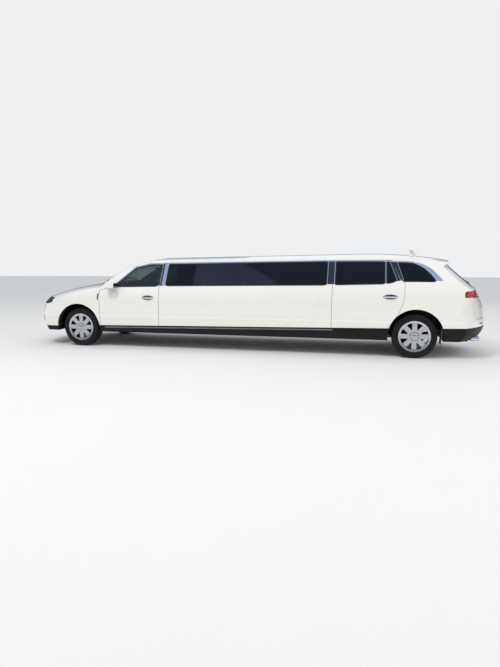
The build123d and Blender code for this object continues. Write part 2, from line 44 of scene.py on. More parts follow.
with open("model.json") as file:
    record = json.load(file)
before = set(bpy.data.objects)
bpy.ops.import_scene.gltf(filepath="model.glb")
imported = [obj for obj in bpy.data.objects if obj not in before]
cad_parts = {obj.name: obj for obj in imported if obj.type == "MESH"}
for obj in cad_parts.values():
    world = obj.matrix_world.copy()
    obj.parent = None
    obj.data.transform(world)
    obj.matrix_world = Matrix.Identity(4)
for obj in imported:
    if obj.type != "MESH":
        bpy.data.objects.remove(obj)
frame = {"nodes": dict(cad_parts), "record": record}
NODES = frame["nodes"]
SLOTS = {row["node"]: row["material_slot"] for row in frame["record"]["subparts"]}
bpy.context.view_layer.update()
AXLES = {end: float(sum(c[0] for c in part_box(f"{end}_tyre_left")) / 2)
         for end in ("front", "rear")}
WHEEL_Y = float(sum(c[1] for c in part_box("front_tyre_left")) / 2)
TYRE_R = float(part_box("front_tyre_left")[1][2]) / 2
SIDES = {"left": 1.0, "right": -1.0}
FINISHES = {}

# Where rays towards the body start: beyond its ends, and beside or above it.
BEYOND_ENDS, BESIDE, ABOVE = 4.6, 1.3, 1.9

# The side band: half widths at the crease and at the roof rail, the rail's height, the rise
# between both, and the share of its width at places along the car.
CREASE_HALF, RAIL_HALF, RAIL_Z, BAND_RISE = 0.8878, 0.6311, 1.600, 0.435
BAND_SLOPE = (CREASE_HALF - RAIL_HALF) / BAND_RISE
BAND_NORMAL = np.array([0.0, 1.0, BAND_SLOPE]) / math.hypot(1.0, BAND_SLOPE)
NARROWING = ([-4.30, -3.75, -3.20, -2.60, -2.30, 2.40, 2.75, 3.35, 3.80, 4.30],
             [0.88, 0.945, 0.985, 1.0, 1.0, 1.0, 1.0, 0.985, 0.955, 0.90])

# The grille's face bows round an arc: its foremost x and the arc's radius.
GRILLE_X, GRILLE_ARC = 4.125, 2.659

# The camera: focal length and picture height in pixels, film width in millimetres, its
# turn, tilt and roll in degrees, and its place.
FOCAL_PIXELS, PICTURE_PIXELS, FILM_WIDTH = 480, 667, 36
CAMERA_ANGLES, CAMERA_PLACE = (12.99, 7.97, -0.1), (-2.064, 9.056, 1.497)

# Side view of the windows, as in the part's source: x and z of their corners in metres,
# after the panel that each is set in. The same holds for the strips and covers below.
WINDOWS = {
    "front": ("front_door", [(2.430, 1.125), (2.030, 1.470), (1.760, 1.528), (1.556, 1.530),
                             (1.556, 1.140)]),
    "rear": ("rear_door", [(-1.640, 1.192), (-1.640, 1.576), (-2.440, 1.568),
                           (-2.440, 1.212)]),
    "door_quarter": ("rear_door", [(-2.475, 1.213), (-2.475, 1.566), (-2.530, 1.562),
                                   (-2.635, 1.275), (-2.590, 1.240)]),
    "long": ("body", [(1.395, 1.150), (1.395, 1.545), (-1.500, 1.575), (-1.500, 1.187)]),
    "quarter": ("body", [(-2.735, 1.248), (-2.730, 1.275), (-2.635, 1.553), (-2.800, 1.550),
                         (-2.910, 1.536), (-3.050, 1.466), (-3.150, 1.370),
                         (-3.225, 1.268), (-3.225, 1.248)])}
TOP_STRIPS = {
    "front": ("front_door", [(2.44, 1.133), (2.045, 1.4835), (1.765, 1.5415),
                             (1.510, 1.5435)]),
    "long": ("body", [(1.5065, 1.553), (1.395, 1.555), (-1.500, 1.5865), (-1.589, 1.587)]),
    "rear": ("rear_door", [(-1.593, 1.5868), (-2.440, 1.5805), (-2.562, 1.5735)]),
    "quarter": ("body", [(-2.570, 1.5725), (-2.800, 1.566), (-2.905, 1.5545)])}
QUARTER_EDGE = [(-2.915, 1.543), (-2.985, 1.512), (-3.057, 1.472), (-3.112, 1.424),
                (-3.160, 1.373), (-3.203, 1.314), (-3.237, 1.258)]
PILLAR_COVERS = {
    "front_pillar": ("front_door", [(1.562, 1.150), (1.510, 1.150), (1.510, 1.533),
                                    (1.562, 1.532)]),
    "long_front_pillar": ("body", [(1.5065, 1.146), (1.470, 1.146), (1.470, 1.547),
                                   (1.5065, 1.547)]),
    "long_rear_pillar": ("body", [(-1.493, 1.196), (-1.5965, 1.198), (-1.5900, 1.579),
                                  (-1.493, 1.578)]),
    "rear_door_pillar": ("rear_door", [(-1.5995, 1.199), (-1.648, 1.199), (-1.648, 1.580),
                                       (-1.5930, 1.580)]),
    "rear_door_divider": ("rear_door", [(-2.433, 1.216), (-2.482, 1.216), (-2.482, 1.568),
                                        (-2.433, 1.569)]),
    "rear_door_tail": ("rear_door", [(-2.632, 1.2885), (-2.6757, 1.2905), (-2.5627, 1.570),
                                     (-2.526, 1.568)]),
    "rear_door_toe": ("rear_door", [(-2.612, 1.250), (-2.702, 1.2615), (-2.6757, 1.2905),
                                    (-2.632, 1.2885)]),
    "quarter_front": ("body", [(-2.6790, 1.2935), (-2.7400, 1.2440), (-2.648, 1.556),
                               (-2.5682, 1.562)])}
# These have the strip's width in third place.
UPRIGHT_STRIPS = {
    "long_front": ("body", [(1.437, 1.150), (1.437, 1.546)], 0.070),
    "long_rear": ("body", [(-1.510, 1.196), (-1.510, 1.577)], 0.010),
    "rear_front": ("rear_door", [(-1.627, 1.200), (-1.627, 1.578)], 0.012),
    "divider": ("rear_door", [(-2.457, 1.216), (-2.457, 1.568)], 0.012),
    "door_tail": ("rear_door", [(-2.638, 1.262), (-2.524, 1.566)], 0.008),
    "quarter_lead": ("body", [(-2.7370, 1.262), (-2.640, 1.556)], 0.008)}
HANDLES = {"front": (1.725, 0.935), "rear": (-2.535, 1.000)}


# Settings that a user may change.


class LimoPaint(bpy.types.PropertyGroup):
    """Colours and gloss of the painted body."""

    body: bpy.props.FloatVectorProperty(
        name="Body colour", description="Warm white of the painted panels", subtype="COLOR",
        size=3, min=0.0, max=1.0, default=(0.84, 0.815, 0.765))
    lining: bpy.props.FloatVectorProperty(
        name="Inner lining colour", description="Colour of the panels' inner sides",
        subtype="COLOR", size=3, min=0.0, max=1.0, default=(0.035, 0.034, 0.033))
    film: bpy.props.FloatProperty(
        name="Road film", description="Share of road film low on the panels",
        min=0.0, max=1.0, default=0.22)
    gloss: bpy.props.FloatProperty(
        name="Clear coat", description="Weight of the clear coat", min=0.0, max=1.0, default=1.0)


class LimoGlass(bpy.types.PropertyGroup):
    """Tints of the glass."""

    cabin: bpy.props.FloatVectorProperty(
        name="Cabin tint", description="Tint of the passenger glass", subtype="COLOR",
        size=3, min=0.0, max=1.0, default=(0.020, 0.026, 0.045))
    driver: bpy.props.FloatVectorProperty(
        name="Driver tint", description="Tint of the windscreen and front door glass",
        subtype="COLOR", size=3, min=0.0, max=1.0, default=(0.36, 0.42, 0.40))


class LimoTrim(bpy.types.PropertyGroup):
    """Sizes of the trim round the side windows."""

    strip: bpy.props.FloatProperty(
        name="Bright strip", description="Height of the bright strip over the side windows",
        unit="LENGTH", min=0.01, max=0.05, default=0.024)
    seal: bpy.props.FloatProperty(
        name="Seal width", description="Width of the rubber seal round each window",
        unit="LENGTH", min=0.004, max=0.03, default=0.012)
    proud: bpy.props.FloatProperty(
        name="Height of trim", description="How far the trim stands off the skin",
        unit="LENGTH", min=0.001, max=0.01, default=0.003)


class LimoTyre(bpy.types.PropertyGroup):
    """Sizes of the tyre tread."""

    groove: bpy.props.FloatProperty(
        name="Groove depth", description="Depth of the grooves in the tread",
        unit="LENGTH", min=0.001, max=0.012, default=0.007)
    blocks: bpy.props.IntProperty(
        name="Tread blocks", description="Number of blocks round one tyre",
        min=20, max=90, default=64)


class LimoCabin(bpy.types.PropertyGroup):
    """Colours and fill of the seats."""

    leather: bpy.props.FloatVectorProperty(
        name="Leather", description="Colour of the seat leather", subtype="COLOR",
        size=3, min=0.0, max=1.0, default=(0.030, 0.028, 0.027))
    fill: bpy.props.FloatProperty(
        name="Seat fill", description="How tight the seat pads are", min=0.0, max=1.0,
        default=0.75)


class LimoStage(bpy.types.PropertyGroup):
    """Floor, light and camera."""

    floor: bpy.props.FloatVectorProperty(
        name="Floor colour", description="Pale colour of the floor", subtype="COLOR",
        size=3, min=0.0, max=1.0, default=(0.84, 0.84, 0.83))
    key: bpy.props.FloatProperty(
        name="Key light", description="Power of the main lamp", unit="POWER",
        min=0.0, default=520.0)
    lens: bpy.props.FloatProperty(
        name="Lens", description="Focal length in millimetres", min=10.0, max=200.0,
        default=FOCAL_PIXELS * FILM_WIDTH / PICTURE_PIXELS)


# Mesh helpers.


def grid_object(name, points, wrap_u=False, wrap_v=False, cap=False):
    """A mesh whose faces join neighbours of a grid of points.

    points[i, j] is the surface at parameters (i, j). wrap_u joins the last row to the first,
    wrap_v the last column to the first, and cap closes both end rows with one face each.
    """
    points = np.asarray(points, dtype=float)
    rows, columns = points.shape[:2]
    index = np.arange(rows * columns).reshape(rows, columns)
    if wrap_u:
        index = np.vstack([index, index[:1]])
    if wrap_v:
        index = np.hstack([index, index[:, :1]])
    quads = np.stack([index[:-1, :-1], index[1:, :-1], index[1:, 1:], index[:-1, 1:]],
                     axis=-1).reshape(-1, 4)
    faces = quads.tolist()
    if cap:
        faces += [index[0, :columns].tolist(), index[-1, :columns][::-1].tolist()]
    mesh = bpy.data.meshes.new(name)
    mesh.from_pydata(points.reshape(-1, 3).tolist(), [], faces)
    mesh.update()
    obj = bpy.data.objects.new(name, mesh)
    bpy.context.scene.collection.objects.link(obj)
    return obj


def dress(obj, body, finish, angle=35.0):
    """Close and shade a new piece, give it its finish and let it ride on a body.

    Doubled points are merged and all faces turn outwards. Edges over the angle stay sharp.
    """
    work = bmesh.new()
    work.from_mesh(obj.data)
    bmesh.ops.remove_doubles(work, verts=work.verts, dist=1e-6)
    bmesh.ops.recalc_face_normals(work, faces=work.faces)
    work.to_mesh(obj.data)
    work.free()
    obj.data.shade_smooth()
    obj.data.set_sharp_from_angle(angle=math.radians(angle))
    obj.data.materials.clear()
    obj.data.materials.append(FINISHES[finish])
    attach(obj, body)
    return obj


def merged(name, objects):
    """Several meshes as one piece."""
    work = bmesh.new()
    for obj in objects:
        work.from_mesh(obj.data)
        bpy.data.objects.remove(obj)
    mesh = bpy.data.meshes.new(name)
    work.to_mesh(mesh)
    work.free()
    result = bpy.data.objects.new(name, mesh)
    bpy.context.scene.collection.objects.link(result)
    return result


def mirrored_points(points, side):
    """The same grid on the given side of the car."""
    return points * np.array([1.0, side, 1.0])


def points_at(x, y, z):
    """Points from their coordinates, each of them a number or an array."""
    return np.stack(np.broadcast_arrays(*(np.asarray(c, dtype=float) for c in (x, y, z))), axis=-1)


def stood_on(obj, place, normal):
    """Move a piece that was turned about Y to a place, with its axis along a normal."""
    turn = Vector((0, 1, 0)).rotation_difference(Vector(normal)).to_matrix()
    obj.data.transform(Matrix.Translation(Vector(place)) @ turn.to_4x4())
    return obj


def closed_outline(outline, radius=0.03, steps=5):
    """A closed outline whose corners are arcs, as a curve through tangent points.

    Each corner is replaced by the quadratic curve from a point before it to one after it.
    """
    corners = np.array(outline, dtype=float)
    before = np.roll(corners, 1, axis=0) - corners
    after = np.roll(corners, -1, axis=0) - corners
    long_before = np.linalg.norm(before, axis=1, keepdims=True)
    long_after = np.linalg.norm(after, axis=1, keepdims=True)
    start = corners + before / long_before * np.minimum(radius, long_before * 0.45)
    end = corners + after / long_after * np.minimum(radius, long_after * 0.45)
    t = np.linspace(0, 1, steps)[None, :, None]
    curve = ((1 - t) ** 2 * start[:, None] + 2 * t * (1 - t) * corners[:, None]
             + t ** 2 * end[:, None])
    return curve.reshape(-1, 2)


def spread(points, count, closed=False):
    """Points at even steps along a run of points."""
    points = np.asarray(points, dtype=float)
    if closed:
        points = np.vstack([points, points[:1]])
    steps = np.linalg.norm(np.diff(points, axis=0), axis=1)
    along = np.concatenate([[0], np.cumsum(steps)])
    where = np.linspace(0, along[-1], count, endpoint=not closed)
    return np.stack([np.interp(where, along, points[:, k]) for k in range(points.shape[1])],
                    axis=1)


# The body's flat side band, where the side windows are.


def belt_z(x):
    """Height of the crease below the side glass: a straight line that rises to the rear."""
    return 1.165 - 0.0195 * x


def side_y(x, z):
    """Half width of the band: a straight slope from the crease to the roof rail.

    The whole section narrows by a share, linear between the given places.
    """
    rise = (z - belt_z(x)) / (RAIL_Z - belt_z(x))
    return np.interp(x, *NARROWING) * (CREASE_HALF + (RAIL_HALF - CREASE_HALF) * rise)


def on_band(path, across, height):
    """Points on the side band, moved across the path and off the skin.

    path holds x and z; across is a side step in that plane, height a step along the normal.
    """
    x, z = path[:, 0], path[:, 1]
    tangent = np.gradient(path, axis=0)
    tangent /= np.linalg.norm(tangent, axis=1, keepdims=True) + 1e-9
    sideways = np.stack([-tangent[:, 1], tangent[:, 0]], axis=1)
    moved_x = x[:, None] + sideways[:, 0:1] * across
    moved_z = z[:, None] + sideways[:, 1:2] * across
    y = side_y(moved_x, moved_z)
    return points_at(moved_x, y, moved_z) + BAND_NORMAL * height[:, None]


def band_strip(name, path, width, proud, side):
    """A strip with rounded edges that lies on the side band along a path.

    Its profile is a flat arch: down into the skin at both edges, crowned in the middle.
    """
    half, sink, crown = width / 2, 0.006, 0.0012
    across = np.array([-half, -half, -half * 0.86, 0.0, half * 0.86, half, half])
    height = np.array([-sink, proud * 0.5, proud, proud + crown, proud, proud * 0.5, -sink])
    return grid_object(name, mirrored_points(on_band(path, across, height), side),
                       wrap_v=True, cap=True)


def window_seal(name, outline, seal, side):
    """Rubber frame round a window: a lip on the skin that turns in to the glass."""
    path = spread(closed_outline(outline), 160, closed=True)
    area = np.sum(path[:, 0] * np.roll(path[:, 1], -1) - np.roll(path[:, 0], -1) * path[:, 1])
    outwards = -1.0 if area > 0 else 1.0
    across = np.array([seal * 0.75, seal * 0.75, seal * 0.4, 0.0, -seal * 0.25, -seal,
                       -seal]) * outwards
    height = np.array([-0.004, 0.0022, 0.0036, 0.0028, 0.0002, -0.0072, -0.0086])
    points = on_band(np.vstack([path[-1:], path, path[:1]]), across, height)[1:-1]
    return grid_object(name, mirrored_points(points, side), wrap_u=True, wrap_v=True)


def band_plate(name, corners, proud, side, rows=24):
    """A thin cover on the side band: four corners joined by straight lines."""
    a, b, c, d = [np.array(corner, dtype=float) for corner in corners]
    u = np.linspace(0, 1, rows)[:, None, None]
    v = np.array([0.0, 0.02, 0.06, 0.5, 0.94, 0.98, 1.0])[None, :, None]
    flat = (1 - u) * ((1 - v) * a + v * b) + u * ((1 - v) * d + v * c)
    lift = np.array([-0.5, 0.6, 1.0, 1.05, 1.0, 0.6, -0.5]) * proud
    x, z = flat[..., 0], flat[..., 1]
    skin = points_at(x, side_y(x, z), z)
    front = skin + BAND_NORMAL * lift[None, :, None]
    back = skin - BAND_NORMAL * 0.004
    points = np.concatenate([front, back[:, ::-1]], axis=1)
    return grid_object(name, mirrored_points(points, side), wrap_v=True, cap=True)


def revolved(name, profile, centre, segments=48, axis="y", turn=0.0, ring=False):
    """A profile of (distance from the axis, place along it) turned round one axis.

    It starts and ends on the axis, or else ring joins its end to its start.
    """
    profile = np.asarray(profile, dtype=float)
    angle = np.linspace(0, 2 * np.pi, segments, endpoint=False)[:, None] + turn
    r, t = profile[:, 0][None, :], profile[:, 1][None, :]
    first, second = r * np.cos(angle), r * np.sin(angle)
    order = {"x": (t, first, second), "y": (first, t, second), "z": (first, second, t)}
    return grid_object(name, points_at(*order[axis]) + np.array(centre), wrap_u=True, wrap_v=ring)


def slab(name, front, step):
    """A closed sheet: a grid of points, the same grid moved by a step, and its edges."""
    front = np.asarray(front, dtype=float)
    back = front + np.asarray(step, dtype=float)
    points = np.concatenate([front, back[:, ::-1]], axis=1)
    return grid_object(name, points, wrap_v=True, cap=True)


def tube(name, path, radius, sides=12, flat=1.0, closed=False):
    """A round bar carried along a path of points, closed at both ends or joined to a loop.

    Rings stand across the path's direction; flat squeezes them in their second direction.
    """
    path = np.asarray(path, dtype=float)
    radius = np.broadcast_to(np.asarray(radius, dtype=float), (len(path),))
    around = np.vstack([path[-1:], path, path[:1]]) if closed else path
    tangent = np.gradient(around, axis=0)[1:-1] if closed else np.gradient(path, axis=0)
    tangent /= np.linalg.norm(tangent, axis=1, keepdims=True) + 1e-12
    guide = np.array([1.0, 0.0, 0.0]) if closed or abs(
        tangent[:, 2]).mean() > 0.8 else np.array([0.0, 0.0, 1.0])
    first = np.cross(tangent, guide)
    first /= np.linalg.norm(first, axis=1, keepdims=True) + 1e-12
    second = np.cross(tangent, first)
    angle = np.linspace(0, 2 * np.pi, sides, endpoint=False)
    ring = (np.cos(angle)[None, :, None] * first[:, None]
            + flat * np.sin(angle)[None, :, None] * second[:, None])
    return grid_object(name, path[:, None] + ring * radius[:, None, None], wrap_u=closed,
                       wrap_v=True, cap=not closed)


def unit_block(count, power):
    """A sphere's directions, each scaled so that |x|^p + |y|^p + |z|^p = 1."""
    u = np.linspace(0, 2 * np.pi, 2 * count, endpoint=False)[:, None]
    v = np.linspace(-np.pi / 2, np.pi / 2, count)[None, :]
    way = points_at(np.cos(u) * np.cos(v), np.sin(u) * np.cos(v), np.sin(v))
    return way / (np.abs(way) ** power).sum(axis=-1, keepdims=True) ** (1 / power)


def rounded_box(name, low, high, power):
    """A closed block with soft edges: the unit block fitted to a box."""
    low, high = np.array(low, dtype=float), np.array(high, dtype=float)
    return grid_object(name, (low + high) / 2 + unit_block(20, power) * (high - low) / 2,
                       wrap_u=True)


def surface_of(*names):
    """A search tree over the merged faces of some CAD nodes."""
    points, faces = [], []
    for name in names:
        mesh = NODES[name].data
        base = len(points)
        points += [tuple(v.co) for v in mesh.vertices]
        faces += [[base + i for i in p.vertices] for p in mesh.polygons]
    return BVHTree.FromPolygons(points, faces)


def hits(tree, starts, direction, reach=3.0):
    """Where rays from each start meet a surface: points and normals, row by row."""
    found = [tree.ray_cast(Vector(s), Vector(direction), reach)[:2] for s in starts]
    missing = [i for i, (p, n) in enumerate(found) if p is None]
    if missing:
        raise RuntimeError(f"no surface under {len(missing)} points, first {starts[missing[0]]}")
    places = np.array([tuple(p) for p, n in found])
    normals = np.array([tuple(n) for p, n in found])
    flip = np.sign(-(normals @ np.array(direction)))
    flip[flip == 0] = 1
    return places, normals * flip[:, None]


def laid_strip(name, tree, starts, direction, width, proud, sink=0.004, along=None):
    """A rounded strip laid on any surface, along the points that rays meet.

    Across the path it spans width, and its profile is a flat arch above the skin. The
    direction across is at right angles to the path, or the one given, laid on the skin.
    """
    places, normals = hits(tree, starts, direction)
    tangent = np.gradient(places, axis=0)
    tangent /= np.linalg.norm(tangent, axis=1, keepdims=True) + 1e-9
    sideways = np.cross(normals, tangent)
    if along is not None:
        sideways = along - (along * normals).sum(axis=1, keepdims=True) * normals
    sideways /= np.linalg.norm(sideways, axis=1, keepdims=True) + 1e-9
    half = np.broadcast_to(np.asarray(width, dtype=float) / 2, (len(places),))
    across = np.array([-1.0, -1.0, -0.8, 0.0, 0.8, 1.0, 1.0])
    height = np.array([-sink, proud * 0.4, proud, proud * 1.15, proud, proud * 0.4, -sink])
    points = (places[:, None] + sideways[:, None] * (across[None, :] * half[:, None])[..., None]
              + normals[:, None] * height[None, :, None])
    return grid_object(name, points, wrap_v=True, cap=True)


# Shader groups and finishes.


def feed(tree, node, inputs):
    """Set a node's inputs to numbers and colours, or link them to sockets."""
    for title, value in inputs.items():
        if isinstance(value, bpy.types.NodeSocket):
            tree.links.new(value, node.inputs[title])
        else:
            node.inputs[title].default_value = value


def add_node(tree, kind, inputs=None, **options):
    """A new shader node with its options and inputs."""
    node = tree.nodes.new("ShaderNode" + kind)
    for title, value in options.items():
        setattr(node, title, value)
    feed(tree, node, inputs or {})
    return node


def math_node(tree, operation, *values, clamp=False):
    """A Math node fed by sockets or numbers; its result socket."""
    return add_node(tree, "Math", dict(enumerate(values)), operation=operation,
                    use_clamp=clamp).outputs[0]


def mixed(tree, mask, *colours):
    """Mix of two colours, plain ones or sockets, by a mask socket; its result socket."""
    first, second = ((*c, 1.0) if isinstance(c, (tuple, list)) else c for c in colours)
    return add_node(tree, "Mix", {0: mask, 6: first, 7: second}, data_type="RGBA").outputs[2]


def object_place(tree):
    """The socket of the Object coordinates."""
    return add_node(tree, "TexCoord").outputs["Object"]


def part_of(tree, vector, axis):
    """The socket of a vector's X, Y or Z."""
    return add_node(tree, "SeparateXYZ", {0: vector}).outputs[axis]


def group(name, inputs, result):
    """A new shader group: its tree, the sockets of its inputs and the socket of its result."""
    tree = bpy.data.node_groups.new(name, "ShaderNodeTree")
    for title, value in inputs.items():
        tree.interface.new_socket(name=title, in_out="INPUT",
                                  socket_type="NodeSocketFloat").default_value = value
    tree.interface.new_socket(name=result, in_out="OUTPUT", socket_type="NodeSocketFloat")
    start, end = tree.nodes.new("NodeGroupInput"), tree.nodes.new("NodeGroupOutput")
    return tree, start.outputs, end.inputs[result]


def build_groups():
    """The effects that several finishes share."""
    # Soft blotches.
    tree, start, end = group("Mottle", {"Scale": 3.0, "Detail": 4.0}, "Mask")
    noise = add_node(tree, "TexNoise", {"Vector": object_place(tree), "Scale": start["Scale"],
                                        "Detail": start["Detail"]}).outputs[0]
    tree.links.new(math_node(tree, "MULTIPLY_ADD", noise, 2.0, -0.5, clamp=True), end)

    # Dirt that fades from the height Low up to the height High, broken up by noise.
    tree, start, end = group("Road film", {"Low": 0.2, "High": 0.9, "Amount": 0.3}, "Mask")
    place = object_place(tree)
    noise = add_node(tree, "TexNoise", {"Vector": place, "Scale": 5.0, "Detail": 8.0})
    fade = add_node(tree, "MapRange", {
        "Value": part_of(tree, place, "Z"), "From Min": start["Low"],
        "From Max": start["High"], "To Min": 1.0, "To Max": 0.0}).outputs[0]
    rough = math_node(tree, "MULTIPLY_ADD", noise.outputs[0], 1.4, -0.1, clamp=True)
    film = math_node(tree, "MULTIPLY", math_node(tree, "POWER", fade, 1.6), rough)
    tree.links.new(math_node(tree, "MULTIPLY", film, start["Amount"], clamp=True), end)

    # Height of a grained skin: noise with pores.
    tree, start, end = group("Fine grain", {"Scale": 400.0, "Pores": 0.5}, "Height")
    place = object_place(tree)
    noise = add_node(tree, "TexNoise", {"Vector": place, "Scale": start["Scale"],
                                        "Detail": 3.0})
    cells = add_node(tree, "TexVoronoi", {"Vector": place, "Scale": start["Scale"]})
    tree.links.new(math_node(tree, "MULTIPLY_ADD", cells.outputs["Distance"], start["Pores"],
                             noise.outputs[0]), end)

    # Faces that look towards the car's spine, a line at Z 0.78 between X -3 and 3.
    tree, start, end = group("Inner side", {}, "Mask")
    place = object_place(tree)
    held = add_node(tree, "Clamp", {"Value": part_of(tree, place, "X"), "Min": -3.0,
                                    "Max": 3.0}).outputs[0]
    spine = add_node(tree, "CombineXYZ", {"X": held, "Z": 0.78}).outputs[0]
    away = add_node(tree, "VectorMath", {0: place, 1: spine}, operation="SUBTRACT").outputs[0]
    normal = add_node(tree, "NewGeometry").outputs["True Normal"]
    own = add_node(tree, "VectorTransform", {0: normal}, vector_type="NORMAL",
                   convert_from="WORLD", convert_to="OBJECT").outputs[0]
    facing = add_node(tree, "VectorMath", {0: away, 1: own},
                      operation="DOT_PRODUCT").outputs["Value"]
    tree.links.new(math_node(tree, "LESS_THAN", facing, -0.06), end)

    # What lies further in than the spokes' back; the alloy turns near black there, partly its dark
    # inner paint, partly painted shade in the rim's windows.
    tree, start, end = group("Behind the spokes", {}, "Mask")
    outwards = math_node(tree, "ABSOLUTE", part_of(tree, object_place(tree), "Y"))
    tree.links.new(math_node(tree, "LESS_THAN", outwards, 0.870), end)


def place_group(tree, name, **values):
    """A shader group in a material, with its own values; its result socket."""
    return add_node(tree, "Group", values, node_tree=bpy.data.node_groups[name]).outputs[0]


def make_finish(name, colour, roughness, metallic=0.0, coat=0.0, mottle=(3.0, 0.06),
                film=None, grain=None, lining=None, spread_roughness=0.06, transmission=0.0,
                ior=1.5, sheen=0.0, painted_glow=0.0, specular=0.5, hidden="Inner side"):
    """A finish from the shared effects: mottled colour, road film, grain and lining.

    The lining's colour covers what the effect named by hidden marks; on the alloy that near-black
    colour is partly painted shade.
    """
    material = bpy.data.materials.new(name)
    material.use_nodes = True
    tree = material.node_tree
    blotch = place_group(tree, "Mottle", Scale=mottle[0])
    dark = tuple(c * (1 - mottle[1]) for c in colour)
    light = tuple(min(1.0, c * (1 + mottle[1] * 0.5)) for c in colour)
    tint = mixed(tree, blotch, dark, light)
    rough = add_node(tree, "MapRange", {
        "Value": blotch, "To Min": max(0.0, roughness - spread_roughness),
        "To Max": roughness + spread_roughness}).outputs[0]
    if film:
        low, high, amount, dirt = film
        veil = place_group(tree, "Road film", Low=low, High=high, Amount=amount)
        tint = mixed(tree, veil, tint, dirt)
        rough = math_node(tree, "MULTIPLY_ADD", veil, 0.5, rough, clamp=True)
    if lining:
        inner = place_group(tree, hidden)
        tint = mixed(tree, inner, tint, lining)
        rough = math_node(tree, "MULTIPLY_ADD", inner, 0.45, rough, clamp=True)
        coat = math_node(tree, "MULTIPLY_ADD", inner, -coat, coat)
    inputs = {"Base Color": tint, "Roughness": rough, "Metallic": metallic, "IOR": ior,
              "Specular IOR Level": specular, "Transmission Weight": transmission,
              "Sheen Weight": sheen, "Coat Weight": coat, "Coat Roughness": 0.03}
    if grain:
        scale, strength, pores = grain
        height = place_group(tree, "Fine grain", Scale=scale, Pores=pores)
        inputs["Normal"] = add_node(tree, "Bump", {
            "Strength": strength, "Distance": 0.001, "Height": height}).outputs[0]
    # Painted glow: the finish's own colour emitted, though the part is no lit lamp.
    if painted_glow:
        inputs.update({"Emission Color": (*colour, 1.0), "Emission Strength": painted_glow})
    feed(tree, tree.nodes["Principled BSDF"], inputs)
    FINISHES[name] = material


def settings():
    """The scene's settings."""
    return bpy.context.scene.limousine


# Operators, one for each piece or group of pieces.


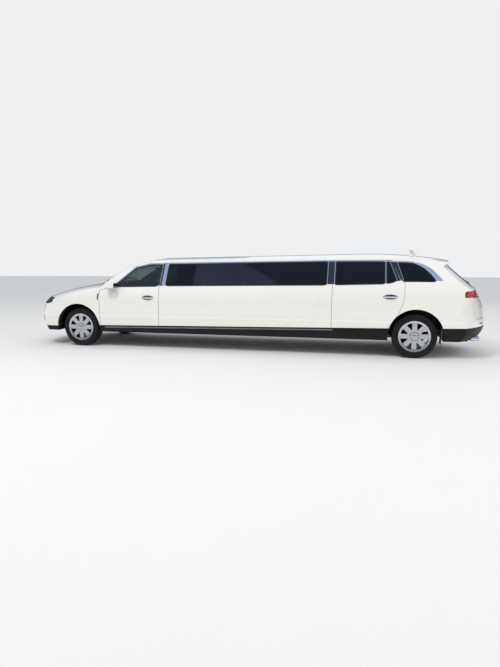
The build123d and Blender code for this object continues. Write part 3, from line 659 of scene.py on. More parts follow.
class LIMO_OT_finishes(bpy.types.Operator):
    """Make every finish and put it on the CAD nodes"""

    bl_idname = "limo.finishes"
    bl_label = "Finishes"

    def execute(self, context):
        paint, glass, cabin = settings().paint, settings().glass, settings().cabin
        dust = (0.30, 0.27, 0.23)
        build_groups()
        make_finish("white_paint", tuple(paint.body), 0.30, coat=paint.gloss,
                    mottle=(0.7, 0.012), film=(0.25, 0.85, paint.film, (0.62, 0.58, 0.52)),
                    grain=(260.0, 0.03, 0.0), lining=tuple(paint.lining))
        make_finish("white_shell", tuple(paint.body), 0.30, coat=paint.gloss,
                    mottle=(0.7, 0.012), grain=(260.0, 0.03, 0.0))
        make_finish("cabin_glass", tuple(glass.cabin), 0.015, mottle=(1.2, 0.3),
                    spread_roughness=0.008, transmission=1.0, ior=1.42)
        make_finish("driver_glass", tuple(glass.driver), 0.012, mottle=(6.0, 0.04),
                    spread_roughness=0.006, transmission=1.0, ior=1.5)
        make_finish("grained_black", (0.007, 0.007, 0.0075), 0.45, mottle=(4.0, 0.25),
                    film=(0.22, 0.62, 0.03, dust), grain=(900.0, 0.35, 0.6), specular=0.2)
        # A grey far lighter than the black cladding: a painted highlight for the light line along
        # the sill.
        make_finish("painted_highlight_trim", (0.13, 0.132, 0.138), 0.30, coat=0.3, mottle=(5.0, 0.2),
                    film=(0.22, 0.62, 0.06, dust))
        make_finish("gloss_black", (0.008, 0.009, 0.011), 0.10, coat=0.6, mottle=(5.0, 0.3),
                    film=(0.3, 1.6, 0.05, dust))
        make_finish("dusty_rubber", (0.085, 0.085, 0.088), 0.62, mottle=(10.0, 0.3),
                    film=(0.2, 0.55, 0.25, dust), grain=(500.0, 0.4, 0.5))
        make_finish("seal_rubber", (0.012, 0.012, 0.012), 0.55, mottle=(12.0, 0.3),
                    film=(0.3, 1.7, 0.08, dust), grain=(700.0, 0.3, 0.3))
        make_finish("chrome", (0.80, 0.82, 0.85), 0.07, metallic=1.0, mottle=(9.0, 0.05),
                    spread_roughness=0.03, film=(0.2, 1.0, 0.10, dust))
        make_finish("satin_silver", (0.62, 0.63, 0.65), 0.28, metallic=1.0,
                    mottle=(14.0, 0.08), film=(0.0, 0.9, 0.15, dust), grain=(500.0, 0.08, 0.2))
        # The red glows faintly as painted light, on the unlit tail lamps, ribs and bumper
        # reflectors alike.
        make_finish("tail_red", (0.30, 0.003, 0.009), 0.16, mottle=(30.0, 0.15),
                    spread_roughness=0.02, painted_glow=0.04, specular=0.25)
        make_finish("lamp_cover", (0.50, 0.55, 0.60), 0.03, mottle=(9.0, 0.1),
                    spread_roughness=0.01, transmission=1.0, ior=1.25)
        make_finish("reflector", (0.85, 0.86, 0.88), 0.10, metallic=1.0, mottle=(40.0, 0.08))
        make_finish("mirror_face", (0.20, 0.22, 0.25), 0.03, metallic=1.0, mottle=(20.0, 0.1),
                    spread_roughness=0.01)
        make_finish("amber", (0.80, 0.26, 0.02), 0.12, coat=1.0, mottle=(40.0, 0.1),
                    grain=(60.0, 0.3, 1.0))
        make_finish("clear_bulb", (0.75, 0.77, 0.80), 0.05, mottle=(30.0, 0.05), coat=1.0)
        make_finish("tyre_rubber", (0.010, 0.010, 0.0105), 0.70, mottle=(20.0, 0.3),
                    film=(-0.05, 0.75, 0.09, (0.09, 0.085, 0.08)), grain=(650.0, 0.4, 0.5),
                    specular=0.25)
        # Behind the spokes the alloy is near black: dark inner paint and painted shade in the
        # rim's windows.
        make_finish("alloy", (0.60, 0.605, 0.62), 0.24, metallic=1.0, mottle=(18.0, 0.10),
                    film=(0.05, 0.8, 0.22, (0.16, 0.14, 0.12)), grain=(420.0, 0.10, 0.2),
                    lining=(0.018, 0.018, 0.019), hidden="Behind the spokes")
        make_finish("forged_steel", (0.10, 0.098, 0.095), 0.50, metallic=0.7, mottle=(12.0, 0.35),
                    film=(0.1, 0.7, 0.45, (0.14, 0.10, 0.07)), grain=(180.0, 0.6, 0.7))
        make_finish("undercoat", (0.030, 0.030, 0.031), 0.70, mottle=(6.0, 0.3),
                    film=(0.2, 0.6, 0.40, dust), grain=(120.0, 0.8, 0.8))
        make_finish("cast_iron", (0.16, 0.16, 0.165), 0.55, metallic=0.8, mottle=(14.0, 0.2),
                    grain=(260.0, 0.9, 0.8))
        make_finish("trim_plastic", (0.024, 0.024, 0.025), 0.52, mottle=(8.0, 0.2),
                    grain=(520.0, 0.6, 0.9))
        make_finish("leather", tuple(cabin.leather), 0.42, mottle=(10.0, 0.25), sheen=0.1,
                    grain=(330.0, 0.55, 1.0))
        make_finish("headliner", (0.20, 0.19, 0.175), 0.9, mottle=(6.0, 0.08),
                    grain=(900.0, 0.7, 0.4), sheen=0.2)
        make_finish("screen", (0.01, 0.012, 0.016), 0.08, mottle=(8.0, 0.1), coat=1.0)
        finish_of = {
            "paint": "white_paint", "dark_glass": "cabin_glass", "clear_glass": "driver_glass",
            "cladding": "grained_black", "lamp_red": "tail_red", "lamp_clear": "lamp_cover",
            "bright_trim": "chrome", "tyre_rubber": "tyre_rubber", "alloy": "alloy",
            "steel": "forged_steel", "underbody": "undercoat", "engine_iron": "cast_iron",
            "trim_plastic": "trim_plastic", "seat_leather": "leather"}
        own_finish = {"mirror_left": "white_shell", "mirror_right": "white_shell",
                      "mud_flaps": "dusty_rubber"}
        for name, obj in NODES.items():
            obj.data.materials.clear()
            obj.data.materials.append(FINISHES[own_finish.get(name, finish_of[SLOTS[name]])])
        return {"FINISHED"}


class LIMO_OT_window_trim(bpy.types.Operator):
    """Add seals, bright strips and dark pillar covers round the side windows"""

    bl_idname = "limo.window_trim"
    bl_label = "Window trim"

    def execute(self, context):
        trim = settings().trim
        for name, side in SIDES.items():
            riders = {"body": "body", "front_door": f"{name}_front_door",
                      "rear_door": f"{name}_rear_door"}
            for window, (panel, outline) in WINDOWS.items():
                dress(window_seal(f"{window}_seal_{name}", outline, trim.seal, side),
                      riders[panel], "seal_rubber")
            for window, (panel, corners) in TOP_STRIPS.items():
                dress(band_strip(f"{window}_top_strip_{name}", spread(corners, 70), trim.strip,
                                 trim.proud, side), riders[panel], "chrome")
            self.quarter_sweep(name, side, trim.proud)
            for cover, (panel, corners) in PILLAR_COVERS.items():
                dress(band_plate(f"{cover}_cover_{name}", corners, 0.0025, side),
                      riders[panel], "gloss_black")
            for strip, (panel, ends, width) in UPRIGHT_STRIPS.items():
                dress(band_strip(f"{strip}_bright_{name}", spread(ends, 24), width, 0.0042,
                                 side), riders[panel], "chrome")
        return {"FINISHED"}

    def quarter_sweep(self, name, side, proud):
        """The bright strip that widens down the quarter window, and the door's white head.

        It widens at right angles to the window's edge, and over the last third of its length
        that direction swings level.
        """
        count = 48
        t = np.linspace(0, 1, count)
        edge = spread(QUARTER_EDGE, count)
        tangent = np.gradient(edge, axis=0)
        outwards = np.stack([tangent[:, 1], -tangent[:, 0]], axis=1)
        outwards /= np.linalg.norm(outwards, axis=1, keepdims=True)
        swing = np.clip((t - 0.66) / 0.34, 0, 1)[:, None]
        outwards = outwards * (1 - swing) + np.array([-1.0, 0.02]) * swing
        outwards /= np.linalg.norm(outwards, axis=1, keepdims=True)
        width = np.interp(t, [0, 0.25, 0.8, 1], [0.022, 0.040, 0.080, 0.110])
        centre = edge + outwards * width[:, None] / 2
        across = points_at(outwards[:, 0], 0.0, outwards[:, 1])
        quarter, inwards = surface_of(f"rear_quarter_{name}", "roof"), (0, -side, 0)
        dress(laid_strip(f"quarter_sweep_{name}", quarter,
                         points_at(centre[:, 0], BESIDE * side, centre[:, 1]), inwards, width,
                         proud + 0.001, sink=0.012, along=across * side), "body", "chrome")
        rail = points_at(np.linspace(-1.600, -2.590, 40), BESIDE * side, 1.6110)
        dress(laid_strip(f"door_head_{name}", quarter, rail, inwards, 0.028, 0.0022,
                         sink=0.0015), "body", "white_shell")


class LIMO_OT_tyres(bpy.types.Operator):
    """Replace the plain tyres with treaded ones"""

    bl_idname = "limo.tyres"
    bl_label = "Tyres"

    def execute(self, context):
        tyre = settings().tyre
        segments = tyre.blocks * 5
        outline = np.array([
            (0.252, -0.098), (0.262, -0.104), (0.272, -0.109), (0.279, -0.1135),
            (0.284, -0.1125), (0.296, -0.1165), (0.309, -0.1172), (0.3115, -0.1155),
            (0.314, -0.1168), (0.327, -0.1130), (0.338, -0.1060), (0.347, -0.0985),
            (0.3535, -0.0910), (0.3572, -0.0830), (0.3585, -0.0740), (0.3590, -0.0700),
            (0.3590, -0.0620), (0.3594, -0.0580), (0.3597, -0.0400), (0.3597, -0.0320),
            (0.3597, -0.0240), (0.3600, -0.0200), (0.3600, -0.0045)])
        profile = np.vstack([outline, outline[::-1] * np.array([1.0, -1.0])])
        r, t = profile[:, 0][None, :], profile[:, 1][None, :]
        angle = np.linspace(0, 2 * np.pi, segments, endpoint=False)[:, None]
        groove = np.zeros((1, len(profile)))
        for centre in (-0.066, -0.028, 0.028, 0.066):
            groove = np.maximum(groove, np.exp(-((t - centre) / 0.0046) ** 4))
        phase = (angle * tyre.blocks / (2 * np.pi) + np.sign(t) * 0.25 + np.abs(t) * 6.0) % 1.0
        on_tread = 1 / (1 + np.exp(-(r - 0.351) / 0.0016))
        notch = (np.abs(phase - 0.5) < 0.11) * on_tread * (np.abs(t) > 0.031)
        middle_notch = (np.abs(phase - 0.5) < 0.11) * (np.abs(t) < 0.024) * 0.6
        depth = np.maximum(np.maximum(groove * on_tread, notch * 0.75), middle_notch * on_tread)
        radius = r - tyre.groove * depth
        for end, x in AXLES.items():
            for name, side in SIDES.items():
                points = points_at(x + radius * np.cos(angle), side * WHEEL_Y + t,
                                   TYRE_R + radius * np.sin(angle))
                obj = grid_object(f"{end}_tread_{name}", points, wrap_u=True, wrap_v=True)
                dress(obj, f"{end}_{name}_wheel", "tyre_rubber", angle=28)
                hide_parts(f"{end}_tyre_{name}")
        return {"FINISHED"}


class LIMO_OT_wheel_centres(bpy.types.Operator):
    """Add lug nuts, centre caps and valves to the rims"""

    bl_idname = "limo.wheel_centres"
    bl_label = "Wheel centres"

    def execute(self, context):
        for end, x in AXLES.items():
            for name, side in SIDES.items():
                body = f"{end}_{name}_wheel"
                face = side * (WHEEL_Y + 0.097)
                cap = revolved(f"{end}_cap_{name}", [
                    (0.0, side * 0.0145), (0.020, side * 0.0140), (0.027, side * 0.0115),
                    (0.0305, side * 0.006), (0.031, side * -0.004), (0.0, side * -0.004)],
                    (x, face, TYRE_R), 56)
                dress(cap, body, "satin_silver")
                nuts = []
                for k in range(5):
                    a = 2 * math.pi * k / 5 + math.pi / 2
                    centre = (x + 0.0485 * math.cos(a), face, TYRE_R + 0.0485 * math.sin(a))
                    nuts.append(revolved("nut", [
                        (0.0, side * 0.017), (0.006, side * 0.0165), (0.0098, side * 0.013),
                        (0.0105, side * 0.0105), (0.0105, side * -0.003),
                        (0.0, side * -0.003)], centre, 6, turn=a))
                dress(merged(f"{end}_nuts_{name}", nuts), body, "chrome", angle=20)
                path = [(x, face - side * 0.006, TYRE_R - 0.2285),
                        (x, face + side * 0.004, TYRE_R - 0.2265),
                        (x, face + side * 0.012, TYRE_R - 0.2215)]
                dress(tube(f"{end}_valve_{name}", path, [0.0042, 0.0038, 0.003], 10), body,
                      "seal_rubber")
        return {"FINISHED"}


class LIMO_OT_handles(bpy.types.Operator):
    """Add the bright door pulls with their cups and locks"""

    bl_idname = "limo.handles"
    bl_label = "Door handles"

    def execute(self, context):
        t = np.linspace(0, 2 * np.pi, 40, endpoint=False)
        ring = np.array([0.0, 0.35, 0.7, 0.9, 1.0, 1.06, 0.0])[:, None]
        lift = np.array([0.0012, 0.0012, 0.0014, 0.0026, 0.0022, -0.003, -0.006])[:, None]
        reach = np.linspace(-0.113, 0.113, 36)
        outer = -0.1274 + np.sqrt(0.1694 ** 2 - reach ** 2)
        inner = -0.1084 + np.sqrt(0.1354 ** 2 - reach ** 2)
        turn = np.linspace(0, 2 * np.pi, 24, endpoint=False)
        soft_y = np.sign(np.sin(turn)) * np.abs(np.sin(turn)) ** 0.55
        soft_z = np.sign(np.cos(turn)) * np.abs(np.cos(turn)) ** 0.55
        for name, side in SIDES.items():
            for end, (x, z) in HANDLES.items():
                body = f"{name}_{end}_door"
                tree = surface_of(f"{end}_door_{name}")
                px = x + 0.112 * np.cos(t)[None, :] * ring
                pz = z + 0.037 * np.sin(t)[None, :] * ring
                levels = np.linspace(z - 0.06, z + 0.06, 9)
                starts = points_at(x + 0.135, 1.25 * side, levels)
                skin = np.abs(hits(tree, starts, (0, -side, 0))[0][:, 1])
                # The cup is gloss black: painted shade in the pull's recess, which is body colour
                # on the car.
                cup = points_at(px, side * (np.interp(pz, levels, skin) + lift), pz)
                dress(grid_object(f"{end}_handle_shade_cup_{name}", cup, wrap_v=True), body,
                      "gloss_black")
                base = float(np.interp(z, levels, skin)) - 0.002
                middle = (outer + inner) / 2
                half = (outer - inner) / 2 + 0.0022
                points = points_at(
                    (x + reach)[:, None],
                    side * (base + middle[:, None] + half[:, None] * soft_y[None, :]),
                    z + 0.0162 * soft_z[None, :])
                dress(grid_object(f"{end}_handle_bow_{name}", points, wrap_v=True, cap=True),
                      body, "chrome")
                lock = revolved(f"{end}_handle_lock_{name}", [
                    (0.0, side * 0.004), (0.007, side * 0.004), (0.0085, side * 0.002),
                    (0.0085, side * -0.004), (0.0, side * -0.004)],
                    (x - 0.092, side * (base + 0.004), z - 0.052), 20)
                dress(lock, body, "satin_silver")
        return {"FINISHED"}


class LIMO_OT_front_face(bpy.types.Operator):
    """Add the grille frame, lamp reflectors, fog lamps, intake and wipers"""

    bl_idname = "limo.front_face"
    bl_label = "Front face"

    def execute(self, context):
        nose = surface_of("front_bumper", "hood", "headlamps", "grille", "lower_cladding",
                          "front_fender_left", "front_fender_right")
        back = (-1, 0, 0)

        def on_nose(title, y, z, width, proud):
            """A strip across the nose."""
            return laid_strip(title, nose, points_at(BEYOND_ENDS, y, z), back, width, proud)

        span = np.linspace(-1, 1, 40)
        corners = [(0.441, 0.634), (0.441, 0.892), (-0.441, 0.892), (-0.441, 0.634)]
        loop = spread(closed_outline(corners, 0.03, 8), 200, closed=True)
        bend = GRILLE_X - GRILLE_ARC + np.sqrt(GRILLE_ARC ** 2 - loop[:, 0] ** 2)
        path = points_at(bend - 0.004, loop[:, 0], loop[:, 1])
        dress(tube("grille_frame", path, 0.0125, 16, closed=True), "body", "chrome")
        dress(on_nose("lower_intake", span * 0.60, 0.500, 0.105, 0.0012), "body", "grained_black")
        bars = [on_nose("bar", span * 0.585, z, 0.010, 0.0038) for z in (0.468, 0.500, 0.532)]
        dress(merged("intake_bars", bars), "body", "gloss_black")
        dress(on_nose("intake_bright", span * 0.60, 0.436, 0.014, 0.004), "body", "chrome")
        for name, side in SIDES.items():
            places, normals = hits(nose, points_at(BEYOND_ENDS, [side * 0.715], 0.500), back)
            self.fog_lamp(name, places[0], normals[0])
            self.head_lamp(name, side, nose)
        self.wipers()
        return {"FINISHED"}

    def fog_lamp(self, name, place, normal):
        """A round lens in a dark bezel, turned to the skin's normal."""
        pieces = (("bezel", [(0.0, -0.010), (0.062, -0.010), (0.062, 0.004), (0.054, 0.008),
                             (0.046, 0.004), (0.042, -0.004), (0.0, -0.006)], "gloss_black"),
                  ("lens", [(0.0, 0.006), (0.018, 0.0055), (0.032, 0.003), (0.041, -0.002),
                            (0.041, -0.006), (0.0, -0.006)], "clear_bulb"))
        for title, profile, finish in pieces:
            obj = revolved(f"fog_{title}_{name}", profile, (0, 0, 0), 40)
            dress(stood_on(obj, place, normal), "body", finish)

    def head_lamp(self, name, side, nose):
        """Two bowls with their bulbs inside the lamp and a bright bar along its top."""
        radius, depth, back = 0.034, 0.034, (-1, 0, 0)
        for k, y in enumerate((0.560, 0.690)):
            place = hits(nose, points_at(BEYOND_ENDS, [side * y], 0.858), back)[0][0]
            bowl = revolved(f"head_bowl_{k}_{name}", [
                (0.0, -0.022), (radius * 0.5, -0.016), (radius * 0.85, -0.004),
                (radius, 0.006), (radius * 1.08, 0.006), (radius * 1.08, -0.004),
                (radius * 0.6, -0.022), (0.0, -0.026)], (0, 0, 0), 40)
            eye = revolved(f"head_eye_{k}_{name}", [
                (0.0, 0.004), (radius * 0.3, 0.002), (radius * 0.48, -0.006),
                (radius * 0.5, -0.018), (0.0, -0.020)], (0, 0, 0), 32)
            for obj, finish in ((bowl, "reflector"), (eye, "clear_bulb")):
                stood_on(obj, Vector(place) - Vector((depth, 0, 0)),
                         Vector((1.0, side * 0.25, 0.02)).normalized())
                dress(obj, "body", finish)
        places, normals = hits(nose, points_at(BEYOND_ENDS, side * np.linspace(0.46, 0.83, 30),
                                               np.linspace(0.8985, 0.884, 30)), back)
        path = places - normals * 0.010
        dress(tube(f"head_bar_{name}", path, 0.0045, 10), "body", "reflector")

    def wipers(self):
        """Two arms with blades that lie on the windscreen, and the dark cowl before it."""
        glass = surface_of("windscreen")
        around = surface_of("windscreen", "hood", "roof", "front_fender_left",
                            "front_fender_right")
        y = np.linspace(-0.70, 0.70, 60)
        front = np.interp(np.abs(y), [0, 0.42, 0.735], [2.882, 2.838, 2.722])
        cowl = laid_strip("cowl", around, points_at(front, y, ABOVE), (0, 0, -1), 0.044,
                          0.004, sink=0.010)
        dress(cowl, "body", "grained_black")
        for name, foot, tip in (("left", (2.752, 0.46), (2.785, -0.10)),
                                ("right", (2.782, -0.20), (2.668, -0.60))):
            t = np.linspace(0, 1, 18)
            starts = points_at(foot[0] + (tip[0] - foot[0]) * t - 0.02 * np.sin(np.pi * t),
                               foot[1] + (tip[1] - foot[1]) * t, ABOVE)
            places, normals = hits(glass, starts, (0, 0, -1))
            blade = tube("blade", places + normals * 0.010, 0.0052, 8, flat=1.6)
            arm = tube("arm", (places + normals * (0.016 + 0.012 * np.sin(np.pi * t)[:, None])
                               )[:12] + np.array([0.018, 0, 0]), 0.0062, 8)
            pivot = revolved("pivot", [(0.0, 0.030), (0.014, 0.028), (0.017, 0.020),
                                       (0.017, -0.020), (0.0, -0.020)],
                             tuple(places[0] + np.array([0.018, 0, 0.002])), 20, axis="z")
            dress(merged(f"wiper_{name}", [blade, arm, pivot]), "body", "seal_rubber")


class LIMO_OT_rear_face(bpy.types.Operator):
    """Add the lamp edges, plate mount, wiper, reflectors and pipe tips at the rear"""

    bl_idname = "limo.rear_face"
    bl_label = "Rear face"

    def execute(self, context):
        gate = surface_of("tailgate", "tailgate_glass", "tailgate_lamp")
        tail = surface_of("rear_bumper", "lower_cladding", "rear_quarter_left",
                          "rear_quarter_right", "tail_lamps")
        span = np.linspace(-1, 1, 50)
        ahead = (1, 0, 0)

        def across(title, y, z, width, proud, onto=gate):
            """A strip across the tail."""
            return laid_strip(title, onto, points_at(-BEYOND_ENDS, y, z), ahead, width, proud)

        for title, z, width in (("upper", 1.106, 0.012), ("lower", 0.982, 0.014)):
            dress(across(f"lamp_edge_{title}", span * 0.700, z, width, 0.004), "tailgate",
                  "chrome")
        ribs = [across("rib", span * 0.600, z, 0.006, 0.0015) for z in (1.020, 1.045, 1.070)]
        dress(merged("lamp_ribs", ribs), "tailgate", "tail_red")
        for name, side in SIDES.items():
            dress(across(f"reverse_lamp_{name}", side * np.linspace(0.30, 0.47, 14), 1.010,
                         0.022, 0.004), "tailgate", "clear_bulb")
            dress(across(f"bumper_reflector_{name}", side * np.linspace(0.44, 0.60, 16), 0.560,
                         0.026, 0.005, tail), "body", "tail_red")
            sleeve = revolved(f"pipe_tip_{name}", [
                (0.0335, -3.850), (0.0385, -3.858), (0.0400, -3.880), (0.0415, -3.968),
                (0.0405, -3.974), (0.0375, -3.972), (0.0360, -3.950), (0.0355, -3.900),
                (0.0335, -3.880)], (0, side * 0.600, 0.310), 40, axis="x", ring=True)
            dress(sleeve, "body", "chrome")
        u = np.linspace(-1, 1, 15)
        dress(across("plate_mount", u * 0.165, 0.858, 0.168, 0.003), "tailgate", "grained_black")
        dress(across("plate_pull", u * 0.245, 0.962, 0.022, 0.014), "tailgate", "chrome")
        for name, side in SIDES.items():
            dress(across(f"plate_lamp_{name}", side * np.linspace(0.155, 0.195, 6), 0.944,
                         0.012, 0.012), "tailgate", "clear_bulb")
        dress(across("high_lamp", u * 0.17, 1.556, 0.016, 0.004), "tailgate", "tail_red")
        sensors = []
        for y in (-0.62, -0.22, 0.22, 0.62):
            places, normals = hits(tail, points_at(-BEYOND_ENDS, [y], 0.590), ahead)
            disc = revolved("sensor", [(0.0, 0.0022), (0.0075, 0.002), (0.009, 0.0005),
                                       (0.009, -0.004), (0.0, -0.004)], (0, 0, 0), 24)
            sensors.append(stood_on(disc, places[0], normals[0]))
        dress(merged("parking_sensors", sensors), "body", "gloss_black")
        t = np.linspace(0, 1, 16)
        places, normals = hits(gate, points_at(-BEYOND_ENDS, 0.04 - 0.44 * t,
                                               1.205 + 0.03 * np.sin(np.pi * t)), ahead)
        blade = tube("blade", places + normals * 0.010, 0.005, 8, flat=1.6)
        arm = tube("arm", (places + normals * (0.017 + 0.010 * np.sin(np.pi * t)[:, None]))[:11],
                   0.0065, 8)
        hub = revolved("hub", [(0.0, 0.034), (0.018, 0.031), (0.023, 0.022), (0.024, -0.010),
                               (0.0, -0.010)], (0, 0, 0), 24, axis="x")
        hub.data.transform(Matrix.Translation(Vector(places[0]))
                           @ Matrix.Scale(-1, 4, Vector((1, 0, 0))))
        dress(merged("rear_wiper", [blade, arm, hub]), "tailgate", "seal_rubber")
        return {"FINISHED"}


class LIMO_OT_mirrors(bpy.types.Operator):
    """Add mirror glass, a dark foot and a turn lamp to the door mirrors"""

    bl_idname = "limo.mirrors"
    bl_label = "Door mirrors"

    def execute(self, context):
        for name, side in SIDES.items():
            body = f"{name}_front_door"
            case = surface_of(f"mirror_{name}")
            for title, low, high, lift, finish in (
                    ("bezel", (0.918, 1.103), (1.072, 1.203), 0.0015, "gloss_black"),
                    ("glass", (0.930, 1.114), (1.060, 1.192), 0.0030, "mirror_face")):
                y, z = np.meshgrid(np.linspace(low[0], high[0], 14),
                                   np.linspace(low[1], high[1], 10), indexing="ij")
                starts = points_at(2.0, side * y, z)
                places = hits(case, starts.reshape(-1, 3), (1, 0, 0))[0]
                front = places.reshape(14, 10, 3) + np.array([-lift, 0, 0])
                dress(slab(f"mirror_{title}_{name}", front, (0.006, 0, 0)), body, finish)
            t = np.linspace(0, 1, 14)
            starts = points_at(2.9, side * (0.965 + 0.09 * t), 1.142)
            turn = laid_strip(f"mirror_turn_lamp_{name}", case, starts, (-1, 0, 0), 0.011, 0.003)
            dress(turn, body, "amber")
            under = points_at(2.436, side * (0.935 + 0.12 * t), 0.9)
            dress(laid_strip(f"mirror_under_{name}", case, under, (0, 0, 1), 0.150, 0.003),
                  body, "grained_black")
            corners = ((2.450, 1.128), (2.330, 1.128), (2.330, 1.208), (2.348, 1.205))
            dress(band_plate(f"mirror_sail_{name}", corners, 0.0040, side), body, "gloss_black")
        return {"FINISHED"}


class LIMO_OT_body_details(bpy.types.Operator):
    """Add the fender vents, sill mouldings, antenna and fuel flap's seam"""

    bl_idname = "limo.body_details"
    bl_label = "Body details"

    def execute(self, context):
        for name, side in SIDES.items():
            fender = surface_of(f"front_fender_{name}", "front_bumper")
            z = np.linspace(0.884, 1.004, 16)
            x = 2.730 - 0.10 * (z - 0.944)
            starts = points_at(x, BESIDE * side, z)
            dress(laid_strip(f"vent_frame_{name}", fender, starts, (0, -side, 0), 0.030,
                             0.0045), "body", "chrome")
            dress(laid_strip(f"vent_slot_{name}", fender, starts[1:-1], (0, -side, 0), 0.018,
                             0.0062), "body", "gloss_black")
            sill = surface_of("lower_cladding")
            x = np.linspace(2.60, -1.62, 120)
            starts = points_at(x, BESIDE * side, 0.4135 - 0.0155 * x)
            # The moulding's lighter grey is a painted highlight.
            dress(laid_strip(f"sill_moulding_{name}", sill, starts, (0, -side, 0), 0.024,
                             0.0065), "body", "painted_highlight_trim")
        self.antenna()
        flap = surface_of("rear_quarter_right")
        ring = closed_outline([(-3.26, 0.93), (-3.42, 0.93), (-3.42, 1.07), (-3.26, 1.07)],
                              0.04, 8)
        ring = spread(ring, 80, closed=True)
        places, normals = hits(flap, points_at(ring[:, 0], -BESIDE, ring[:, 1]), (0, 1, 0))
        loop = np.vstack([places, places[:1]])
        seam = tube("fuel_flap_seam", loop + np.vstack([normals, normals[:1]]) * 0.0002, 0.0022, 6)
        dress(seam, "body", "seal_rubber")
        return {"FINISHED"}

    def antenna(self):
        """A wing on a fin: the fin's half length falls from 85 to 30 mm by a power of height.

        The wing's middle line sweeps back by the square of its reach, and its section is an
        ellipse that tilts up towards the rear.
        """
        turn = np.linspace(0, 2 * np.pi, 40, endpoint=False)[None, :]
        rise = np.linspace(0, 1, 20)[:, None]
        long = 0.030 + 0.055 * (1 - rise) ** 1.7
        wide = 0.012 + 0.028 * (1 - rise) ** 1.7
        fin = points_at(-2.935 + 0.014 * rise + long * np.cos(turn), wide * np.sin(turn),
                        1.668 + 0.108 * rise)
        reach = np.linspace(-1, 1, 41)[:, None]
        tip = np.sqrt(np.clip(1 - np.abs(reach) ** 8, 0, 1))
        chord = (0.050 - 0.012 * reach ** 2) * np.maximum(tip, 0.15)
        thick = 0.0075 * np.maximum(tip, 0.2)
        ahead, upright = chord * np.cos(turn), thick * np.sin(turn)
        tilt = 0.22
        wing = points_at(-2.912 - 0.060 * reach ** 2 + ahead * math.cos(tilt)
                         + upright * math.sin(tilt), 0.235 * reach,
                         1.7765 - ahead * math.sin(tilt) + upright * math.cos(tilt))
        shapes = [grid_object("fin", fin, wrap_v=True, cap=True),
                  grid_object("wing", wing, wrap_v=True, cap=True)]
        obj = dress(merged("roof_antenna", shapes), "body", "white_shell", angle=50)
        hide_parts("antenna")


def soft_form(name, low, high, crown=0.02, channels=(), depth=0.006, power=6.0, lean=0.0,
              axis="z"):
    """A crowned pad: a rounded block whose top swells between its sewn channels.

    The unit block's top swells by crown * (1 - u^4) * (1 - v^4), and each channel takes
    depth * exp(-((u - c) / w)^2) off.
    """
    low, high = np.array(low, dtype=float), np.array(high, dtype=float)
    unit = unit_block(44, power)
    half = (high - low) / 2
    third = {"x": 0, "y": 1, "z": 2}[axis]
    across = [k for k in (1, 0, 2) if k != third]
    a, b = unit[..., across[0]], unit[..., across[1]]
    swell = crown * (1 - np.clip(np.abs(a), 0, 1) ** 4) * (1 - np.clip(np.abs(b), 0, 1) ** 4)
    for place in channels:
        swell = swell - depth * np.exp(-((a - place) / 0.035) ** 2) * (np.abs(b) < 0.97)
    points = unit * half
    points[..., third] += swell * np.sign(unit[..., third]) * np.abs(unit[..., third]) ** 2
    points[..., 0] += lean * (points[..., 2] + half[2])
    return grid_object(name, (low + high) / 2 + points, wrap_u=True)


CLOTH_FRAMES = 12


def inflate(obj, voxel, pressure=4.0, cap=0.012):
    """Swell a pad by cloth simulation and keep the result, with every move held to a cap.
    """
    remesh = obj.modifiers.new("remesh", "REMESH")
    remesh.mode, remesh.voxel_size = "VOXEL", voxel
    bpy.context.view_layer.objects.active = obj
    with bpy.context.temp_override(object=obj, active_object=obj, selected_objects=[obj]):
        bpy.ops.object.modifier_apply(modifier=remesh.name)
    count = len(obj.data.vertices)
    start = np.empty(count * 3)
    obj.data.vertices.foreach_get("co", start)
    start = start.reshape(-1, 3)
    cloth = obj.modifiers.new("cloth", "CLOTH")
    cloth.settings.use_pressure = True
    cloth.settings.uniform_pressure_force = pressure
    cloth.settings.effector_weights.gravity = 0.0
    scene = bpy.context.scene
    for number in range(1, CLOTH_FRAMES + 1):
        scene.frame_set(number)
    seen = obj.evaluated_get(bpy.context.evaluated_depsgraph_get())
    end = np.empty(count * 3)
    seen.data.vertices.foreach_get("co", end)
    obj.modifiers.remove(cloth)
    scene.frame_set(1)
    move = end.reshape(-1, 3) - start
    length = np.linalg.norm(move, axis=1, keepdims=True) + 1e-9
    move *= np.minimum(1.0, cap / length)
    obj.data.vertices.foreach_set("co", (start + move).reshape(-1))
    obj.data.update()
    return obj


